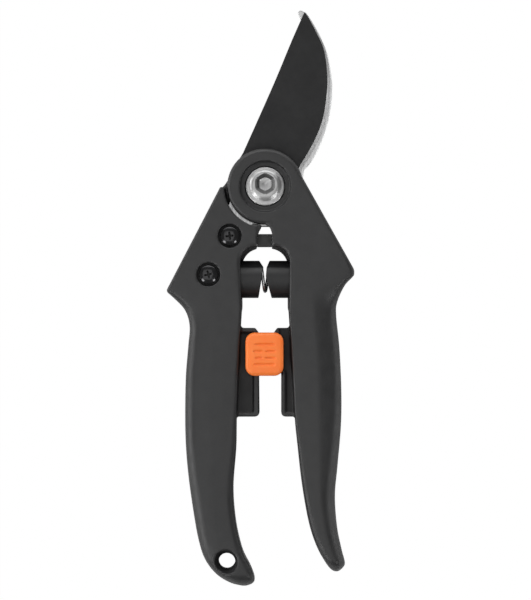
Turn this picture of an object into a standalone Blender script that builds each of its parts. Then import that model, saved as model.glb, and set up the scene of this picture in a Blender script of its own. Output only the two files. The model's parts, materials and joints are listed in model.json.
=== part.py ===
"""Bypass pruning shears, closed and locked, lying on their back.

Every number below is in millimetres, measured from the pivot: x to the right, y towards the
blade's tip, z up from the surface that the shears lie on.  The helpers turn them into metres.
The left handle, the hook and the pivot stand still; the right handle and the blade turn about
the pivot; the orange button slides along the left handle's lock plate.
"""
import math

import bmesh
import bpy
from mathutils import Vector

MM = 0.001

# ---- driving dimensions -------------------------------------------------------------------
PIVOT = (1.65, 39.65)         # the pivot's place from the middle of the whole outline
GAP = 0.3                     # clearance between neighbouring pieces
HEAD_TOP = 16.5               # front face of the handles' broad upper part
GRIP_TOP = 17.0               # front of the grips
HOOK_BOTTOM, HOOK_TOP = 5.5, 8.7
BLADE_BOTTOM, BLADE_TOP = 9.0, 11.7
DISC_RADIUS = 13.5            # the round cheeks over the pivot
NOTCH_RADIUS = 14.6           # the other handle's cut-out round a cheek
COUNTERBORE_RADIUS = 9.1      # the dish round the bolt's head, and the nut's pocket
DISH_DEPTH = 1.2
COUNTERBORE_DEPTH = 3.1       # from the front face down to the bolt's seat
BOLT_RADIUS = 4.0
BOLT_HEAD_RADIUS = 6.9
BUSH_RADIUS = 5.4
BLADE_HOLE_RADIUS = 5.7
UPPER_SCREW = (-12.6, -17.6)  # the hook's two screws; the blade's are their mirror images
LOWER_SCREW = (-20.2, -31.3)
SCREW_HEAD_RADIUS = 3.4
SCREW_RECESS_RADIUS = 4.2
SCREW_RECESS_DEPTH = 1.7
SCREW_RADIUS = 1.8
SCREW_HOLE_RADIUS = 2.3       # clearance holes for the screws' shanks
INSERT_RADIUS = 3.0
INSERT_LENGTH = 3.3
ARCH_LEFT, ARCH_RIGHT, ARCH_TOP = -8.1, 8.0, -22.1
ARCH_CORNER = 4.9
PLATE_TOP_Y, PLATE_BOTTOM_Y = -50.3, -81.9
PLATE_BACK, PLATE_FACE, PLATE_RIM = 3.5, 12.0, 12.8
CUP_Y, CUP_Z = -33.0, 8.4
CUP_RADIUS, CUP_BORE = 6.65, 5.15
CUP_DEPTH_X = 13.3            # how far a cup reaches from the middle into its handle
SPRING_RADIUS, SPRING_WIRE, SPRING_TURNS = 4.25, 0.58, 9
BUTTON_SIZE = (13.5, 15.4)
BUTTON_MIDDLE = (-0.25, -59.6)
BUTTON_BOTTOM, BUTTON_TOP = 13.1, 18.0
LOCK_SCREW = (-0.1, -59.6)
HOLE_CENTRE, HOLE_RADIUS = (-13.6, -133.2), 2.95
FAR_BELOW, FAR_ABOVE = -2.0, 20.0  # heights that a cutter which goes right through reaches
CHEEK_BACK = 0.4              # back face of the hook's round cheek
WEB = [(-12.8, 3.2), (-14.6, 0.6), (-16.3, -1.0), (-12.0, -6.0), (-8.0, 0.0)]
NUT_POCKET_TOP = 3.3
BUMPER_POCKET_TOP = 13.8
BUMPER_BOTTOM, BUMPER_TOP = 3.5, 13.5
DETENT_GROOVE = ((-8.3, -79.2, 0.0), (-6.6, -52.8, 4.8))
HOOK_CLEARANCE = ((6.0, -3.0, -2.0), (22.0, 9.0, 9.0))
CLAW_POCKET = ((2.0, -67.0, 9.4), (6.2, -54.0, 20.0))
CLAW = ((3.6, -62.6, 10.0), (5.2, -56.6, 13.9))
TONGUE = ((-6.6, -65.6, 12.3), (-4.4, -53.6, 13.9))
SLIDER = ((-8.4, -65.1, 1.5), (1.5, -54.1, 3.2))
SLIDER_NECK = ((-1.7, -63.1, 2.5), (1.5, -56.1, 12.8))
CUP_FLOOR = 1.2               # thickness of a spring cup's closed end
LEFT_MOUTH = [(-2.2, -25.0), (-2.2, -26.2), (-0.6, -28.7), (-2.4, -39.7), (-2.5, -41.0),
              (9.0, -41.0), (9.0, -25.0)]
RIGHT_MOUTH = [(1.6, -25.0), (1.6, -26.2), (0.5, -28.8), (0.2, -32.0), (2.4, -40.0),
               (2.6, -41.0), (-9.0, -41.0), (-9.0, -25.0)]
ROUND_STEPS = 3               # facets in each rounded corner of a handle's section

# Edges of the handles as (x, y), from the shoulder to the end of the grip.
LEFT_OUTER = [(-35.3, -37.3), (-32.6, -39.6), (-28.6, -43.9), (-26.9, -49.5), (-27.4, -57.0),
              (-28.3, -69.0), (-28.4, -88.0), (-27.3, -103.0), (-25.0, -119.0),
              (-23.3, -127.3), (-21.7, -132.0), (-19.3, -135.8), (-16.1, -138.9),
              (-12.0, -141.2), (-8.6, -142.1)]
LEFT_INNER = [(-8.3, -44.0), (-9.5, -64.5), (-10.1, -82.0), (-10.3, -93.0), (-11.3, -107.0),
              (-10.4, -119.0), (-8.1, -129.0), (-5.2, -135.0), (-3.7, -139.4), (-4.6, -141.2),
              (-6.6, -142.1)]
RIGHT_OUTER = [(31.7, -29.6), (31.6, -31.6), (28.3, -35.2), (25.6, -41.2), (25.3, -46.1),
               (26.4, -57.0), (27.1, -71.7), (27.0, -84.6), (25.8, -99.0), (24.85, -110.0),
               (25.6, -121.0), (27.2, -129.0), (28.4, -133.8), (27.6, -135.7), (26.2, -137.0)]
RIGHT_INNER = [(8.3, -44.0), (9.7, -66.0), (10.5, -82.0), (11.6, -93.0), (13.1, -106.0),
               (15.4, -119.0), (18.1, -127.5), (21.2, -133.3), (23.4, -136.2), (24.8, -137.0)]
# The straight outer edges of the upper part, from the top to the shoulder.
LEFT_LINE = [(-16.0, -0.2), (-35.3, -37.3)]
RIGHT_LINE = [(12.1, 5.3), (31.7, -29.6)]
LEFT_STOP_X, RIGHT_STOP_X = -2.9, 2.4
# Radius of the section's corners as (radius, y): outer edge, then inner edge.
OUTER_ROUNDING = [(1.3, -36.0), (3.6, -46.0), (6.0, -60.0), (6.5, -110.0), (4.5, -136.0)]
INNER_ROUNDING = [(1.2, -82.0), (3.6, -90.0), (5.0, -112.0), (3.6, -136.0)]
END_ROUNDING = 5.0            # the grip's end thins over this length

TANG = [(-4.3, -13.6), (-9.3, -18.6), (-14.6, -26.5), (-15.6, -32.2)]
TANG_END_RADIUS = 4.9
TANG_OUTER = [(-25.0, -30.6), (-18.3, -17.2), (-12.7, -5.2)]
HOOK_OUTER = [(13.3, 2.0), (14.2, 6.0), (16.9, 9.6), (20.4, 16.7), (22.6, 23.8), (23.75, 31.0),
              (23.8, 38.1), (22.4, 46.5), (20.3, 52.4), (17.9, 57.0), (15.4, 61.0),
              (14.4, 62.2)]
HOOK_TIP = (12.75, 61.85, 1.0)  # x, y and radius of the rounded beak
HOOK_INNER = [(13.0, 58.8), (15.6, 52.0), (17.0, 45.0), (17.0, 37.0), (15.3, 29.0),
              (12.0, 22.0), (7.4, 16.4), (2.4, 13.5)]
BLADE_SPINE = [(-7.9, 12.0), (-2.6, 23.8), (3.7, 38.1), (9.6, 52.3), (13.9, 62.0)]
BLADE_EDGE = [(14.7, 61.7), (16.2, 59.4), (18.9, 54.5), (21.5, 48.8), (22.9, 40.5),
              (23.0, 33.0), (21.6, 24.0), (18.9, 16.7), (15.6, 10.6), (13.2, 6.6), (12.4, 3.5)]
BEVEL_WIDTH = 1.0             # the ground bevel along the cutting edge
CUTTING_THICKNESS = 0.4


# ---- materials ----------------------------------------------------------------------------
def material(name, colour, roughness, metallic=0.0):
    made = bpy.data.materials.new(name)
    made.use_nodes = True
    shader = made.node_tree.nodes["Principled BSDF"]
    shader.inputs["Base Color"].default_value = (*colour, 1.0)
    shader.inputs["Roughness"].default_value = roughness
    shader.inputs["Metallic"].default_value = metallic
    made.diffuse_color = (*colour, 1.0)
    return made


# ---- small geometry helpers ---------------------------------------------------------------
def arc(centre, radius, start, end, steps):
    """Points on a circle from one angle to another, in degrees."""
    angles = [math.radians(start + (end - start) * i / steps) for i in range(steps + 1)]
    return [(centre[0] + radius * math.cos(a), centre[1] + radius * math.sin(a)) for a in angles]


def smooth(points, steps):
    """A Catmull-Rom curve through the points."""
    padded = [points[0]] + list(points) + [points[-1]]
    curve = []
    for i in range(len(points) - 1):
        a, b, c, d = (Vector(p) for p in padded[i:i + 4])
        for step in range(steps):
            t = step / steps
            curve.append(0.5 * (2 * b + (c - a) * t + (2 * a - 5 * b + 4 * c - d) * t ** 2
                                + (3 * b - a - 3 * c + d) * t ** 3))
    curve.append(Vector(points[-1]))
    return [tuple(p) for p in curve]


def mirrored(points):
    return [(-x, y) for x, y in points]


def value_at(points, y):
    """Reads (value, y) pairs, listed downwards, at a height y, by straight lines."""
    if y >= points[0][1]:
        return points[0][0]
    for (v0, y0), (v1, y1) in zip(points, points[1:]):
        if y >= y1:
            return v0 + (v1 - v0) * (y0 - y) / (y0 - y1)
    return points[-1][0]


def edge_at(line, grip, y):
    """The x of a handle's edge: a straight upper part, then a smooth curve down the grip."""
    if y >= grip[0][1]:
        return value_at(line, y)
    return value_at(smooth(grip, 6), y)


def link(obj, parent, mat):
    SHEARS.objects.link(obj)
    obj.parent = parent
    if mat:
        obj.data.materials.clear()
        obj.data.materials.append(mat)
    return obj


def as_cutter(obj):
    for collection in list(obj.users_collection):
        collection.objects.unlink(obj)
    CUTTERS.objects.link(obj)
    obj.hide_render = True
    obj.display_type = "WIRE"
    return obj


def from_bmesh(name, bm, parent, mat=None, smooth_angle=35):
    bmesh.ops.recalc_face_normals(bm, faces=bm.faces)
    mesh = bpy.data.meshes.new(name)
    bm.to_mesh(mesh)
    bm.free()
    mesh.shade_smooth()
    mesh.set_sharp_from_angle(angle=math.radians(smooth_angle))
    return link(bpy.data.objects.new(name, mesh), parent, mat)


def plate(name, points, bottom, top, parent, mat=None):
    """A flat outline of given thickness."""
    curve = bpy.data.curves.new(name, "CURVE")
    curve.dimensions = "2D"
    curve.fill_mode = "BOTH"
    curve.extrude = (top - bottom) / 2 * MM
    spline = curve.splines.new("POLY")
    spline.use_cyclic_u = True
    spline.points.add(len(points) - 1)
    for point, (x, y) in zip(spline.points, points):
        point.co = (x * MM, y * MM, 0.0, 1.0)
    return meshed(name, curve, (0.0, 0.0, (bottom + top) / 2), parent, mat)


def meshed(name, curve, place, parent, mat):
    """Turns a curve into a mesh object with its caps welded on."""
    source = bpy.data.objects.new(name + "_curve", curve)
    SHEARS.objects.link(source)
    source.location = Vector(place) * MM
    bpy.context.view_layer.update()
    evaluated = source.evaluated_get(bpy.context.evaluated_depsgraph_get())
    mesh = bpy.data.meshes.new_from_object(evaluated)
    bm = bmesh.new()
    bm.from_mesh(mesh)
    bmesh.ops.remove_doubles(bm, verts=bm.verts, dist=0.00001)
    bmesh.ops.recalc_face_normals(bm, faces=bm.faces)
    bm.to_mesh(mesh)
    bm.free()
    obj = bpy.data.objects.new(name, mesh)
    obj.matrix_world = source.matrix_world
    bpy.data.objects.remove(source)
    return link(obj, parent, mat)


def cylinder(name, centre, radius, bottom, top, parent, mat=None, sides=32, turn=0.0):
    """An upright cylinder, or a prism when it has few sides."""
    bm = bmesh.new()
    bmesh.ops.create_cone(bm, cap_ends=True, segments=sides, radius1=radius * MM,
                          radius2=radius * MM, depth=(top - bottom) * MM)
    obj = from_bmesh(name, bm, parent, mat)
    obj.location = Vector((centre[0], centre[1], (bottom + top) / 2)) * MM
    obj.rotation_euler.z = math.radians(turn)
    return obj


def box(name, low, high, parent, mat=None):
    bm = bmesh.new()
    size = Vector(high) - Vector(low)
    bmesh.ops.create_cube(bm, size=1.0)
    bmesh.ops.scale(bm, vec=size * MM, verts=bm.verts)
    obj = from_bmesh(name, bm, parent, mat)
    obj.location = (Vector(low) + Vector(high)) / 2 * MM
    return obj


def turned(name, profile, place, parent, mat=None, sides=32):
    """A ring or disc turned about +Z from (radius, height) points, outer side downwards."""
    bm = bmesh.new()
    verts = [bm.verts.new((r * MM, 0.0, z * MM)) for r, z in profile]
    closed = profile[0][0] > 0.0
    for a, b in zip(verts, verts[1:] + (verts[:1] if closed else [])):
        bm.edges.new((a, b))
    mesh = bpy.data.meshes.new(name)
    bm.to_mesh(mesh)
    bm.free()
    obj = link(bpy.data.objects.new(name, mesh), parent, mat)
    obj.location = Vector(place) * MM
    screw = obj.modifiers.new("turn", "SCREW")
    screw.steps = sides
    screw.render_steps = sides
    screw.use_merge_vertices = True
    screw.merge_threshold = 0.00001
    screw.use_smooth_shade = True
    return obj


def tube(outer, inner, bottom, top):
    """Profile of a plain ring for turned()."""
    return [(outer, top), (outer, bottom), (inner, bottom), (inner, top)]


def boolean(target, tool, operation):
    as_cutter(tool)
    change = target.modifiers.new(tool.name, "BOOLEAN")
    change.operation = operation
    change.solver = "EXACT"
    change.object = tool
    return target


def cut(target, *tools):
    for tool in tools:
        boolean(target, tool, "DIFFERENCE")
    return target


def join(target, *tools):
    for tool in tools:
        boolean(target, tool, "UNION")
    return target


# ---- handles ------------------------------------------------------------------------------
def section(left, right, bottom, top, left_round, right_round):
    """Corner points (x, z) of a rounded rectangle, anticlockwise."""
    deepest = min((right - left) / 2, (top - bottom) / 2) - 0.2
    a = min(left_round, deepest)
    b = min(right_round, deepest)
    return (arc((right - b, top - b), b, 0, 90, ROUND_STEPS)
            + arc((left + a, top - a), a, 90, 180, ROUND_STEPS)
            + arc((left + a, bottom + a), a, 180, 270, ROUND_STEPS)
            + arc((right - b, bottom + b), b, 270, 360, ROUND_STEPS))


def stations(top, end):
    """Heights at which a handle's section is drawn: closer round the shoulder and the end."""
    corner_to_grip = [top, -14.0, -29.6, -31.6, -33.4, -35.2, -37.3, -39.6, -41.8, -44.0, -47.0]
    grip = [-50.0 - 5.2 * i for i in range(16)]
    tail = [end + d for d in (4.9, 3.6, 2.3, 1.2, 0.5, 0.0)]
    return corner_to_grip + [y for y in grip if y > tail[0] + 1.0] + tail


def handle(name, left, right, side, top, end, parent, mat):
    """Loft of rounded sections from the pivot down to the end of the grip.

    side is -1 where the outer edge is on the left, and +1 where it is on the right."""
    bm = bmesh.new()
    rings = []
    for y in stations(top, end):
        outer = value_at(OUTER_ROUNDING, y)
        inner = value_at(INNER_ROUNDING, y)
        thin = 1.0 - min(1.0, max(0.0, y - end) / END_ROUNDING)
        taper = GRIP_TOP * 0.32 * (1.0 - math.sqrt(1.0 - thin ** 2))
        face = value_at([(HEAD_TOP, -44.0), (GRIP_TOP, -60.0)], y)
        rounds = (outer, inner) if side < 0 else (inner, outer)
        points = section(left(y), right(y), taper, face - taper, *rounds)
        rings.append([bm.verts.new((x * MM, y * MM, z * MM)) for x, z in points])
    for upper, lower in zip(rings, rings[1:]):
        for i in range(len(upper)):
            j = (i + 1) % len(upper)
            bm.faces.new((upper[i], upper[j], lower[j], lower[i]))
    bm.faces.new(rings[0])
    bm.faces.new(reversed(rings[-1]))
    return from_bmesh(name, bm, parent, mat, smooth_angle=30)


def tang_outline(margin):
    """The hook's tang from the pivot's edge round its end and back, grown by a margin."""
    centre = LOWER_SCREW
    start = math.degrees(math.atan2(TANG[-1][1] - centre[1], TANG[-1][0] - centre[0]))
    end = math.degrees(math.atan2(TANG_OUTER[0][1] - centre[1], TANG_OUTER[0][0] - centre[0]))
    inner = [(x + margin * 0.85, y - margin * 0.53) for x, y in TANG]
    outer = [(x - margin * 0.88, y + margin * 0.47) for x, y in TANG_OUTER]
    return inner + arc(centre, TANG_END_RADIUS + margin, start - 6, end - 360 + 6, 8) + outer


def tang_slot(name, bottom, top, flip, parent):
    """Cutter for the pocket that a tang slides into."""
    points = [(-3.5, -9.0)] + tang_outline(GAP) + [(-9.0, -3.0)]
    points = mirrored(points) if flip else points
    return plate(name, points, bottom, top, parent)


def screw_cuts(name, place, side, slot_face, parent):
    """Recess, shank hole and blind insert bore of one screw.

    side is +1 for a screw put in from the front and -1 for one from the back."""
    if side > 0:
        recess = (HEAD_TOP - SCREW_RECESS_DEPTH, FAR_ABOVE)
        bore = (slot_face - INSERT_LENGTH - 2 * GAP, slot_face + 1.0)
    else:
        recess = (FAR_BELOW, SCREW_RECESS_DEPTH)
        bore = (slot_face - 1.0, slot_face + INSERT_LENGTH + 2 * GAP)
    shank = sorted((recess[0] if side > 0 else recess[1], slot_face))
    return [cylinder(name + "_recess", place, SCREW_RECESS_RADIUS, *recess, parent, sides=28),
            cylinder(name + "_shank", place, SCREW_HOLE_RADIUS, shank[0] - 0.5,
                     shank[1] + 0.5, parent, sides=16),
            cylinder(name + "_bore", place, INSERT_RADIUS + GAP, *bore, parent, sides=24)]


def arch_cutter(name, parent):
    left = (ARCH_LEFT + ARCH_CORNER, ARCH_TOP - ARCH_CORNER)
    right = (ARCH_RIGHT - ARCH_CORNER, ARCH_TOP - ARCH_CORNER)
    points = (arc(right, ARCH_CORNER, 0, 90, 6) + arc(left, ARCH_CORNER, 90, 180, 6)
              + [(ARCH_LEFT, PLATE_TOP_Y), (ARCH_RIGHT, PLATE_TOP_Y)])
    return plate(name, points, FAR_BELOW, FAR_ABOVE, parent)


def cup_bore(name, side, parent):
    """Cutter for the hole in a handle that takes a spring cup."""
    depth = CUP_DEPTH_X + GAP
    bore = cylinder(name, (side * depth / 2, CUP_Y), CUP_RADIUS + GAP, -depth / 2, depth / 2,
                    parent, sides=32)
    bore.location.z = CUP_Z * MM
    bore.rotation_euler.y = math.radians(90)
    return bore


def bumper_outline(margin):
    """T-shaped outline of the stop block: a face between the handles and a dovetail stem."""
    m = margin
    return [(RIGHT_STOP_X - GAP, -16.9), (LEFT_STOP_X + GAP - m, -16.9), (-2.6 - m, -18.4 + m),
            (-4.6, -18.4 + m), (-4.6, -17.4 + m), (-6.2 - m, -17.4 + m), (-6.2 - m, -21.0 - m),
            (-4.6, -21.0 - m), (-4.6, -20.0 - m), (-2.6 - m, -20.0 - m),
            (LEFT_STOP_X + GAP - m, -21.5), (RIGHT_STOP_X - GAP, -21.5)]


def build_left_handle(parent, mat):
    body = handle("left_handle", lambda y: edge_at(LEFT_LINE, LEFT_OUTER, y),
                  lambda y: LEFT_STOP_X if y > -30 else value_at(
                      [(LEFT_STOP_X, -30.0)] + smooth(LEFT_INNER, 6), y),
                  -1, LEFT_LINE[0][1], LEFT_OUTER[-1][1], parent, mat)
    free_corner = arc((-3.7, PLATE_BOTTOM_Y + 1.7), 1.7, 0, -90, 3)
    lock_plate = plate("left_lock_plate", [
        (-13.0, PLATE_TOP_Y), (-3.6, PLATE_TOP_Y), (-2.3, PLATE_TOP_Y - 1.6), *free_corner,
        (-13.0, PLATE_BOTTOM_Y)], PLATE_BACK, PLATE_RIM, parent)
    cheek = cylinder("left_cheek", (0, 0), DISC_RADIUS, CHEEK_BACK, HOOK_BOTTOM - GAP, parent,
                     sides=56)
    web = plate("left_web", WEB, CHEEK_BACK, HOOK_BOTTOM - GAP, parent)
    join(body, lock_plate, cheek, web)
    track = plate("left_track", [(-9.0, PLATE_TOP_Y - 1.5), (-4.0, PLATE_TOP_Y - 1.5),
                                 (-4.0, PLATE_BOTTOM_Y + 1.4), (-10.2, PLATE_BOTTOM_Y + 1.4)],
                  PLATE_FACE, FAR_ABOVE, parent)
    cut(body,
        cylinder("left_notch", (0, 0), NOTCH_RADIUS, HOOK_BOTTOM - GAP, FAR_ABOVE, parent,
                 sides=72),
        arch_cutter("left_arch", parent),
        tang_slot("left_slot", HOOK_BOTTOM - GAP, HOOK_TOP + GAP, False, parent),
        *screw_cuts("upper_hook", UPPER_SCREW, 1, HOOK_BOTTOM - GAP, parent),
        *screw_cuts("lower_hook", LOWER_SCREW, 1, HOOK_BOTTOM - GAP, parent),
        cup_bore("left_cup_bore", -1, parent),
        plate("bumper_pocket", bumper_outline(GAP), FAR_BELOW, BUMPER_POCKET_TOP, parent),
        track,
        box("detent_groove", *DETENT_GROOVE, parent),
        cylinder("hang_hole", HOLE_CENTRE, HOLE_RADIUS, FAR_BELOW, FAR_ABOVE, parent, sides=32),
        cylinder("left_bolt_hole", (0, 0), BOLT_RADIUS + GAP, FAR_BELOW, HOOK_TOP, parent),
        cylinder("nut_pocket", (0, 0), COUNTERBORE_RADIUS, FAR_BELOW, NUT_POCKET_TOP, parent,
                 sides=48))
    return body


def build_right_handle(parent, mat):
    body = handle("right_handle", lambda y: RIGHT_STOP_X if y > -30 else value_at(
                      [(RIGHT_STOP_X, -30.0)] + smooth(RIGHT_INNER, 6), y),
                  lambda y: edge_at(RIGHT_LINE, RIGHT_OUTER, y),
                  1, RIGHT_LINE[0][1], RIGHT_OUTER[-1][1], parent, mat)
    free_corner = arc((7.2, PLATE_BOTTOM_Y + 1.5), 1.5, 180, 270, 3)
    catch_plate = plate("right_catch_plate", [
        (14.0, PLATE_TOP_Y), (4.3, PLATE_TOP_Y), (3.1, PLATE_TOP_Y - 1.6), (3.1, -64.0),
        (5.7, -66.5), *free_corner, (14.0, PLATE_BOTTOM_Y)], PLATE_BACK, PLATE_FACE, parent)
    cheek = cylinder("right_cheek", (0, 0), DISC_RADIUS, BLADE_TOP + GAP, HEAD_TOP, parent,
                     sides=56)
    join(body, catch_plate, cheek)
    cut(body,
        cylinder("right_notch", (0, 0), NOTCH_RADIUS, FAR_BELOW, BLADE_TOP + GAP, parent,
                 sides=72),
        box("hook_clearance", *HOOK_CLEARANCE, parent),
        arch_cutter("right_arch", parent),
        tang_slot("right_slot", BLADE_BOTTOM - GAP, BLADE_TOP + GAP, True, parent),
        *screw_cuts("upper_blade", mirrored([UPPER_SCREW])[0], -1, BLADE_TOP + GAP, parent),
        *screw_cuts("lower_blade", mirrored([LOWER_SCREW])[0], -1, BLADE_TOP + GAP, parent),
        cup_bore("right_cup_bore", 1, parent),
        box("claw_pocket", *CLAW_POCKET, parent),
        cylinder("right_bolt_hole", (0, 0), BOLT_RADIUS + GAP, BLADE_BOTTOM, FAR_ABOVE, parent),
        cylinder("head_pocket", (0, 0), BOLT_HEAD_RADIUS + GAP, HEAD_TOP - COUNTERBORE_DEPTH,
                 FAR_ABOVE, parent, sides=48),
        cylinder("head_dish", (0, 0), COUNTERBORE_RADIUS, HEAD_TOP - DISH_DEPTH, FAR_ABOVE,
                 parent, sides=48))
    return body


# ---- blade and hook -----------------------------------------------------------------------
def tang_holes(obj, name, flip, bottom, top, parent):
    places = [UPPER_SCREW, LOWER_SCREW]
    places = mirrored(places) if flip else places
    cut(obj, *[cylinder(f"{name}_tang_hole_{i}", place, SCREW_HOLE_RADIUS, bottom - 1,
                        top + 1, parent, sides=16) for i, place in enumerate(places)],
        cylinder(name + "_pivot_hole", (0, 0), BLADE_HOLE_RADIUS, bottom - 1, top + 1, parent))


def build_hook(parent, mat):
    x, y, radius = HOOK_TIP
    beak = arc((x, y), radius, 40, 200, 6)
    root = arc((0, 0), 13.3, 78, 198, 8)
    heel = [(-2.6, -14.3), (2.2, -14.3), (4.6, -12.6)] + arc((0, 0), 13.3, -60, 0, 4)
    points = (smooth(HOOK_OUTER, 2) + beak + smooth(HOOK_INNER, 2) + root
              + list(reversed(tang_outline(0.0))) + heel)
    hook = plate("hook_blade", points, HOOK_BOTTOM, HOOK_TOP, parent, mat)
    tang_holes(hook, "hook", False, HOOK_BOTTOM, HOOK_TOP, parent)
    return hook


def build_blade(parent, mat):
    """The blade's plate, whose front edge is drawn in along the cutting edge as a bevel."""
    edge = smooth(BLADE_EDGE, 3)
    root_right = arc((0, 0), 13.0, 0, -16, 2)
    tang = list(reversed(mirrored(tang_outline(0.0))))
    root_left = arc((0, 0), 13.0, -85, -214, 9)
    points = edge + root_right + tang + root_left + BLADE_SPINE
    bm = bmesh.new()
    low = [bm.verts.new((x * MM, y * MM, BLADE_BOTTOM * MM)) for x, y in points]
    face = bm.faces.new(low)
    made = bmesh.ops.extrude_face_region(bm, geom=[face])
    high = [v for v in made["geom"] if isinstance(v, bmesh.types.BMVert)]
    bmesh.ops.translate(bm, verts=high, vec=(0.0, 0.0, (BLADE_TOP - BLADE_BOTTOM) * MM))
    obj = from_bmesh("cutting_blade", bm, parent, mat, smooth_angle=20)
    grinder = grinding_cutter(edge, parent)
    cut(obj, grinder)
    tang_holes(obj, "blade", True, BLADE_BOTTOM, BLADE_TOP, parent)
    return obj


def grinding_cutter(edge, parent):
    """A wedge that follows the cutting edge and takes the bevel off the blade's front."""
    bm = bmesh.new()
    rings = []
    count = len(edge)
    for i, point in enumerate(edge):
        ahead = Vector(edge[min(i + 1, count - 1)]) - Vector(edge[max(i - 1, 0)])
        outward = Vector((-ahead.y, ahead.x)).normalized()
        here = Vector(point)
        width = BEVEL_WIDTH * min(1.0, 0.35 + 0.08 * i)
        inner = here - outward * width
        rise = (BLADE_TOP - BLADE_BOTTOM - CUTTING_THICKNESS) / width
        places = [(inner - outward * 0.3, BLADE_TOP + 0.3 * rise),
                  (here + outward * 0.4, BLADE_BOTTOM + CUTTING_THICKNESS - 0.4 * rise),
                  (here + outward * 1.2, BLADE_TOP + 0.3 * rise)]
        rings.append([bm.verts.new((p.x * MM, p.y * MM, z * MM)) for p, z in places])
    for near, far in zip(rings, rings[1:]):
        for i in range(3):
            j = (i + 1) % 3
            bm.faces.new((near[i], near[j], far[j], far[i]))
    bm.faces.new(reversed(rings[0]))
    bm.faces.new(rings[-1])
    return from_bmesh("grinder", bm, parent)


# ---- pivot --------------------------------------------------------------------------------
def build_pivot(parent, steel, bronze):
    seat = HEAD_TOP - COUNTERBORE_DEPTH
    bolt = turned("pivot_bolt", [
        (0.0, seat + 3.6), (4.6, seat + 3.6), (6.3, seat + 3.1), (BOLT_HEAD_RADIUS, seat + 2.4),
        (BOLT_HEAD_RADIUS, seat + 1.1), (BOLT_RADIUS, seat + 1.1), (BOLT_RADIUS, 0.6),
        (BOLT_RADIUS - 0.5, 0.1), (0.0, 0.1)], (0, 0, 0), parent, steel, sides=36)
    cut(bolt, cylinder("hex_socket", (0, 0), 3.7, seat + 1.7, 20.0, parent, sides=6, turn=30))
    turned("pivot_spring_washer", tube(6.5, BOLT_RADIUS + GAP, seat + GAP, seat + 0.8),
           (0, 0, 0), parent, steel, sides=28)
    turned("pivot_bush", tube(BUSH_RADIUS, BOLT_RADIUS + GAP, HOOK_BOTTOM, BLADE_TOP),
           (0, 0, 0), parent, bronze, sides=28)
    turned("pivot_washer", tube(7.4, BOLT_RADIUS + GAP, 2.2, 3.0), (0, 0, 0), parent, steel,
           sides=28)
    nut = cylinder("pivot_nut", (0, 0), 7.3, 0.0, 1.9, parent, steel, sides=6)
    cut(nut, cylinder("nut_thread", (0, 0), BOLT_RADIUS + GAP, -1.0, 3.0, parent))


# ---- screws and inserts -------------------------------------------------------------------
def cross_recess(name, place, bottom, top, parent):
    arms = [box(f"{name}_arm_{i}", (-1.9 if i else -0.45, -0.45 if i else -1.9, bottom),
                (1.9 if i else 0.45, 0.45 if i else 1.9, top), parent) for i in range(2)]
    for arm in arms:
        arm.location.x += place[0] * MM
        arm.location.y += place[1] * MM
    return arms


def build_screw(name, place, side, insert_far, parent, mat):
    """A pan-head screw; side is +1 where its head is at the front and -1 at the back."""
    outside = HEAD_TOP - 0.2 if side > 0 else 0.2
    under = outside - side * (SCREW_RECESS_DEPTH - 0.2 - GAP)
    heights = [(2.6, outside), (SCREW_HEAD_RADIUS, outside - side * 0.5),
               (SCREW_HEAD_RADIUS, under), (SCREW_RADIUS, under), (SCREW_RADIUS, insert_far)]
    profile = [(0.0, outside)] + heights + [(0.0, insert_far)]
    if side < 0:
        profile.reverse()
    screw = turned(name, profile, (*place, 0.0), parent, mat, sides=24)
    depth = 0.9
    inner = (outside - depth, outside + 1.0) if side > 0 else (outside - 1.0, outside + depth)
    return cut(screw, *cross_recess(name + "_cross", place, *inner, parent))


def build_fasteners(flip, names, side, slot_face, parent, black, brass):
    """The two screws that hold one tang, and the threaded inserts they go into."""
    places = [UPPER_SCREW, LOWER_SCREW]
    places = mirrored(places) if flip else places
    for name, place in zip(names, places):
        near = slot_face - side * GAP
        far = near - side * INSERT_LENGTH
        build_screw(name + "_screw", place, side, far + side * 0.2, parent, black)
        turned(name + "_insert", tube(INSERT_RADIUS, SCREW_RADIUS + GAP, min(near, far),
                                      max(near, far)), (*place, 0.0), parent, brass, sides=20)


# ---- spring, cups and bumper --------------------------------------------------------------
def build_cup(name, side, mouth, parent, mat):
    """A round cup on the spring's axis, with a slanted mouth that faces the other cup."""
    length = CUP_DEPTH_X + 3.0
    profile = [(0.0, CUP_FLOOR), (CUP_BORE, CUP_FLOOR), (CUP_BORE, length),
               (CUP_RADIUS, length), (CUP_RADIUS, 0.0), (0.0, 0.0)]
    cup = turned(name, profile, (side * CUP_DEPTH_X, CUP_Y, CUP_Z), parent, mat, sides=36)
    cup.rotation_euler.y = math.radians(-90 * side)
    return cut(cup, plate(name + "_mouth", mouth, FAR_BELOW, FAR_ABOVE, parent))


def build_spring(parent, mat):
    """The coil: close turns at both ends, open ones between."""
    curve = bpy.data.curves.new("return_spring", "CURVE")
    curve.dimensions = "3D"
    curve.bevel_depth = SPRING_WIRE * MM
    curve.bevel_resolution = 2
    curve.use_fill_caps = True
    reach = CUP_DEPTH_X - CUP_FLOOR - GAP - SPRING_WIRE
    per_turn = 14
    count = SPRING_TURNS * per_turn
    spline = curve.splines.new("POLY")
    spline.points.add(count)
    for i, point in enumerate(spline.points):
        t = i / count
        close = 0.035 * math.sin(2 * math.pi * t) * 2
        x = -reach + 2 * reach * (t - close * 0.5)
        angle = 2 * math.pi * i / per_turn
        point.co = (x * MM, SPRING_RADIUS * math.cos(angle) * MM,
                    SPRING_RADIUS * math.sin(angle) * MM, 1.0)
    return meshed("return_spring", curve, (0.0, CUP_Y, CUP_Z), parent, mat)


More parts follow.
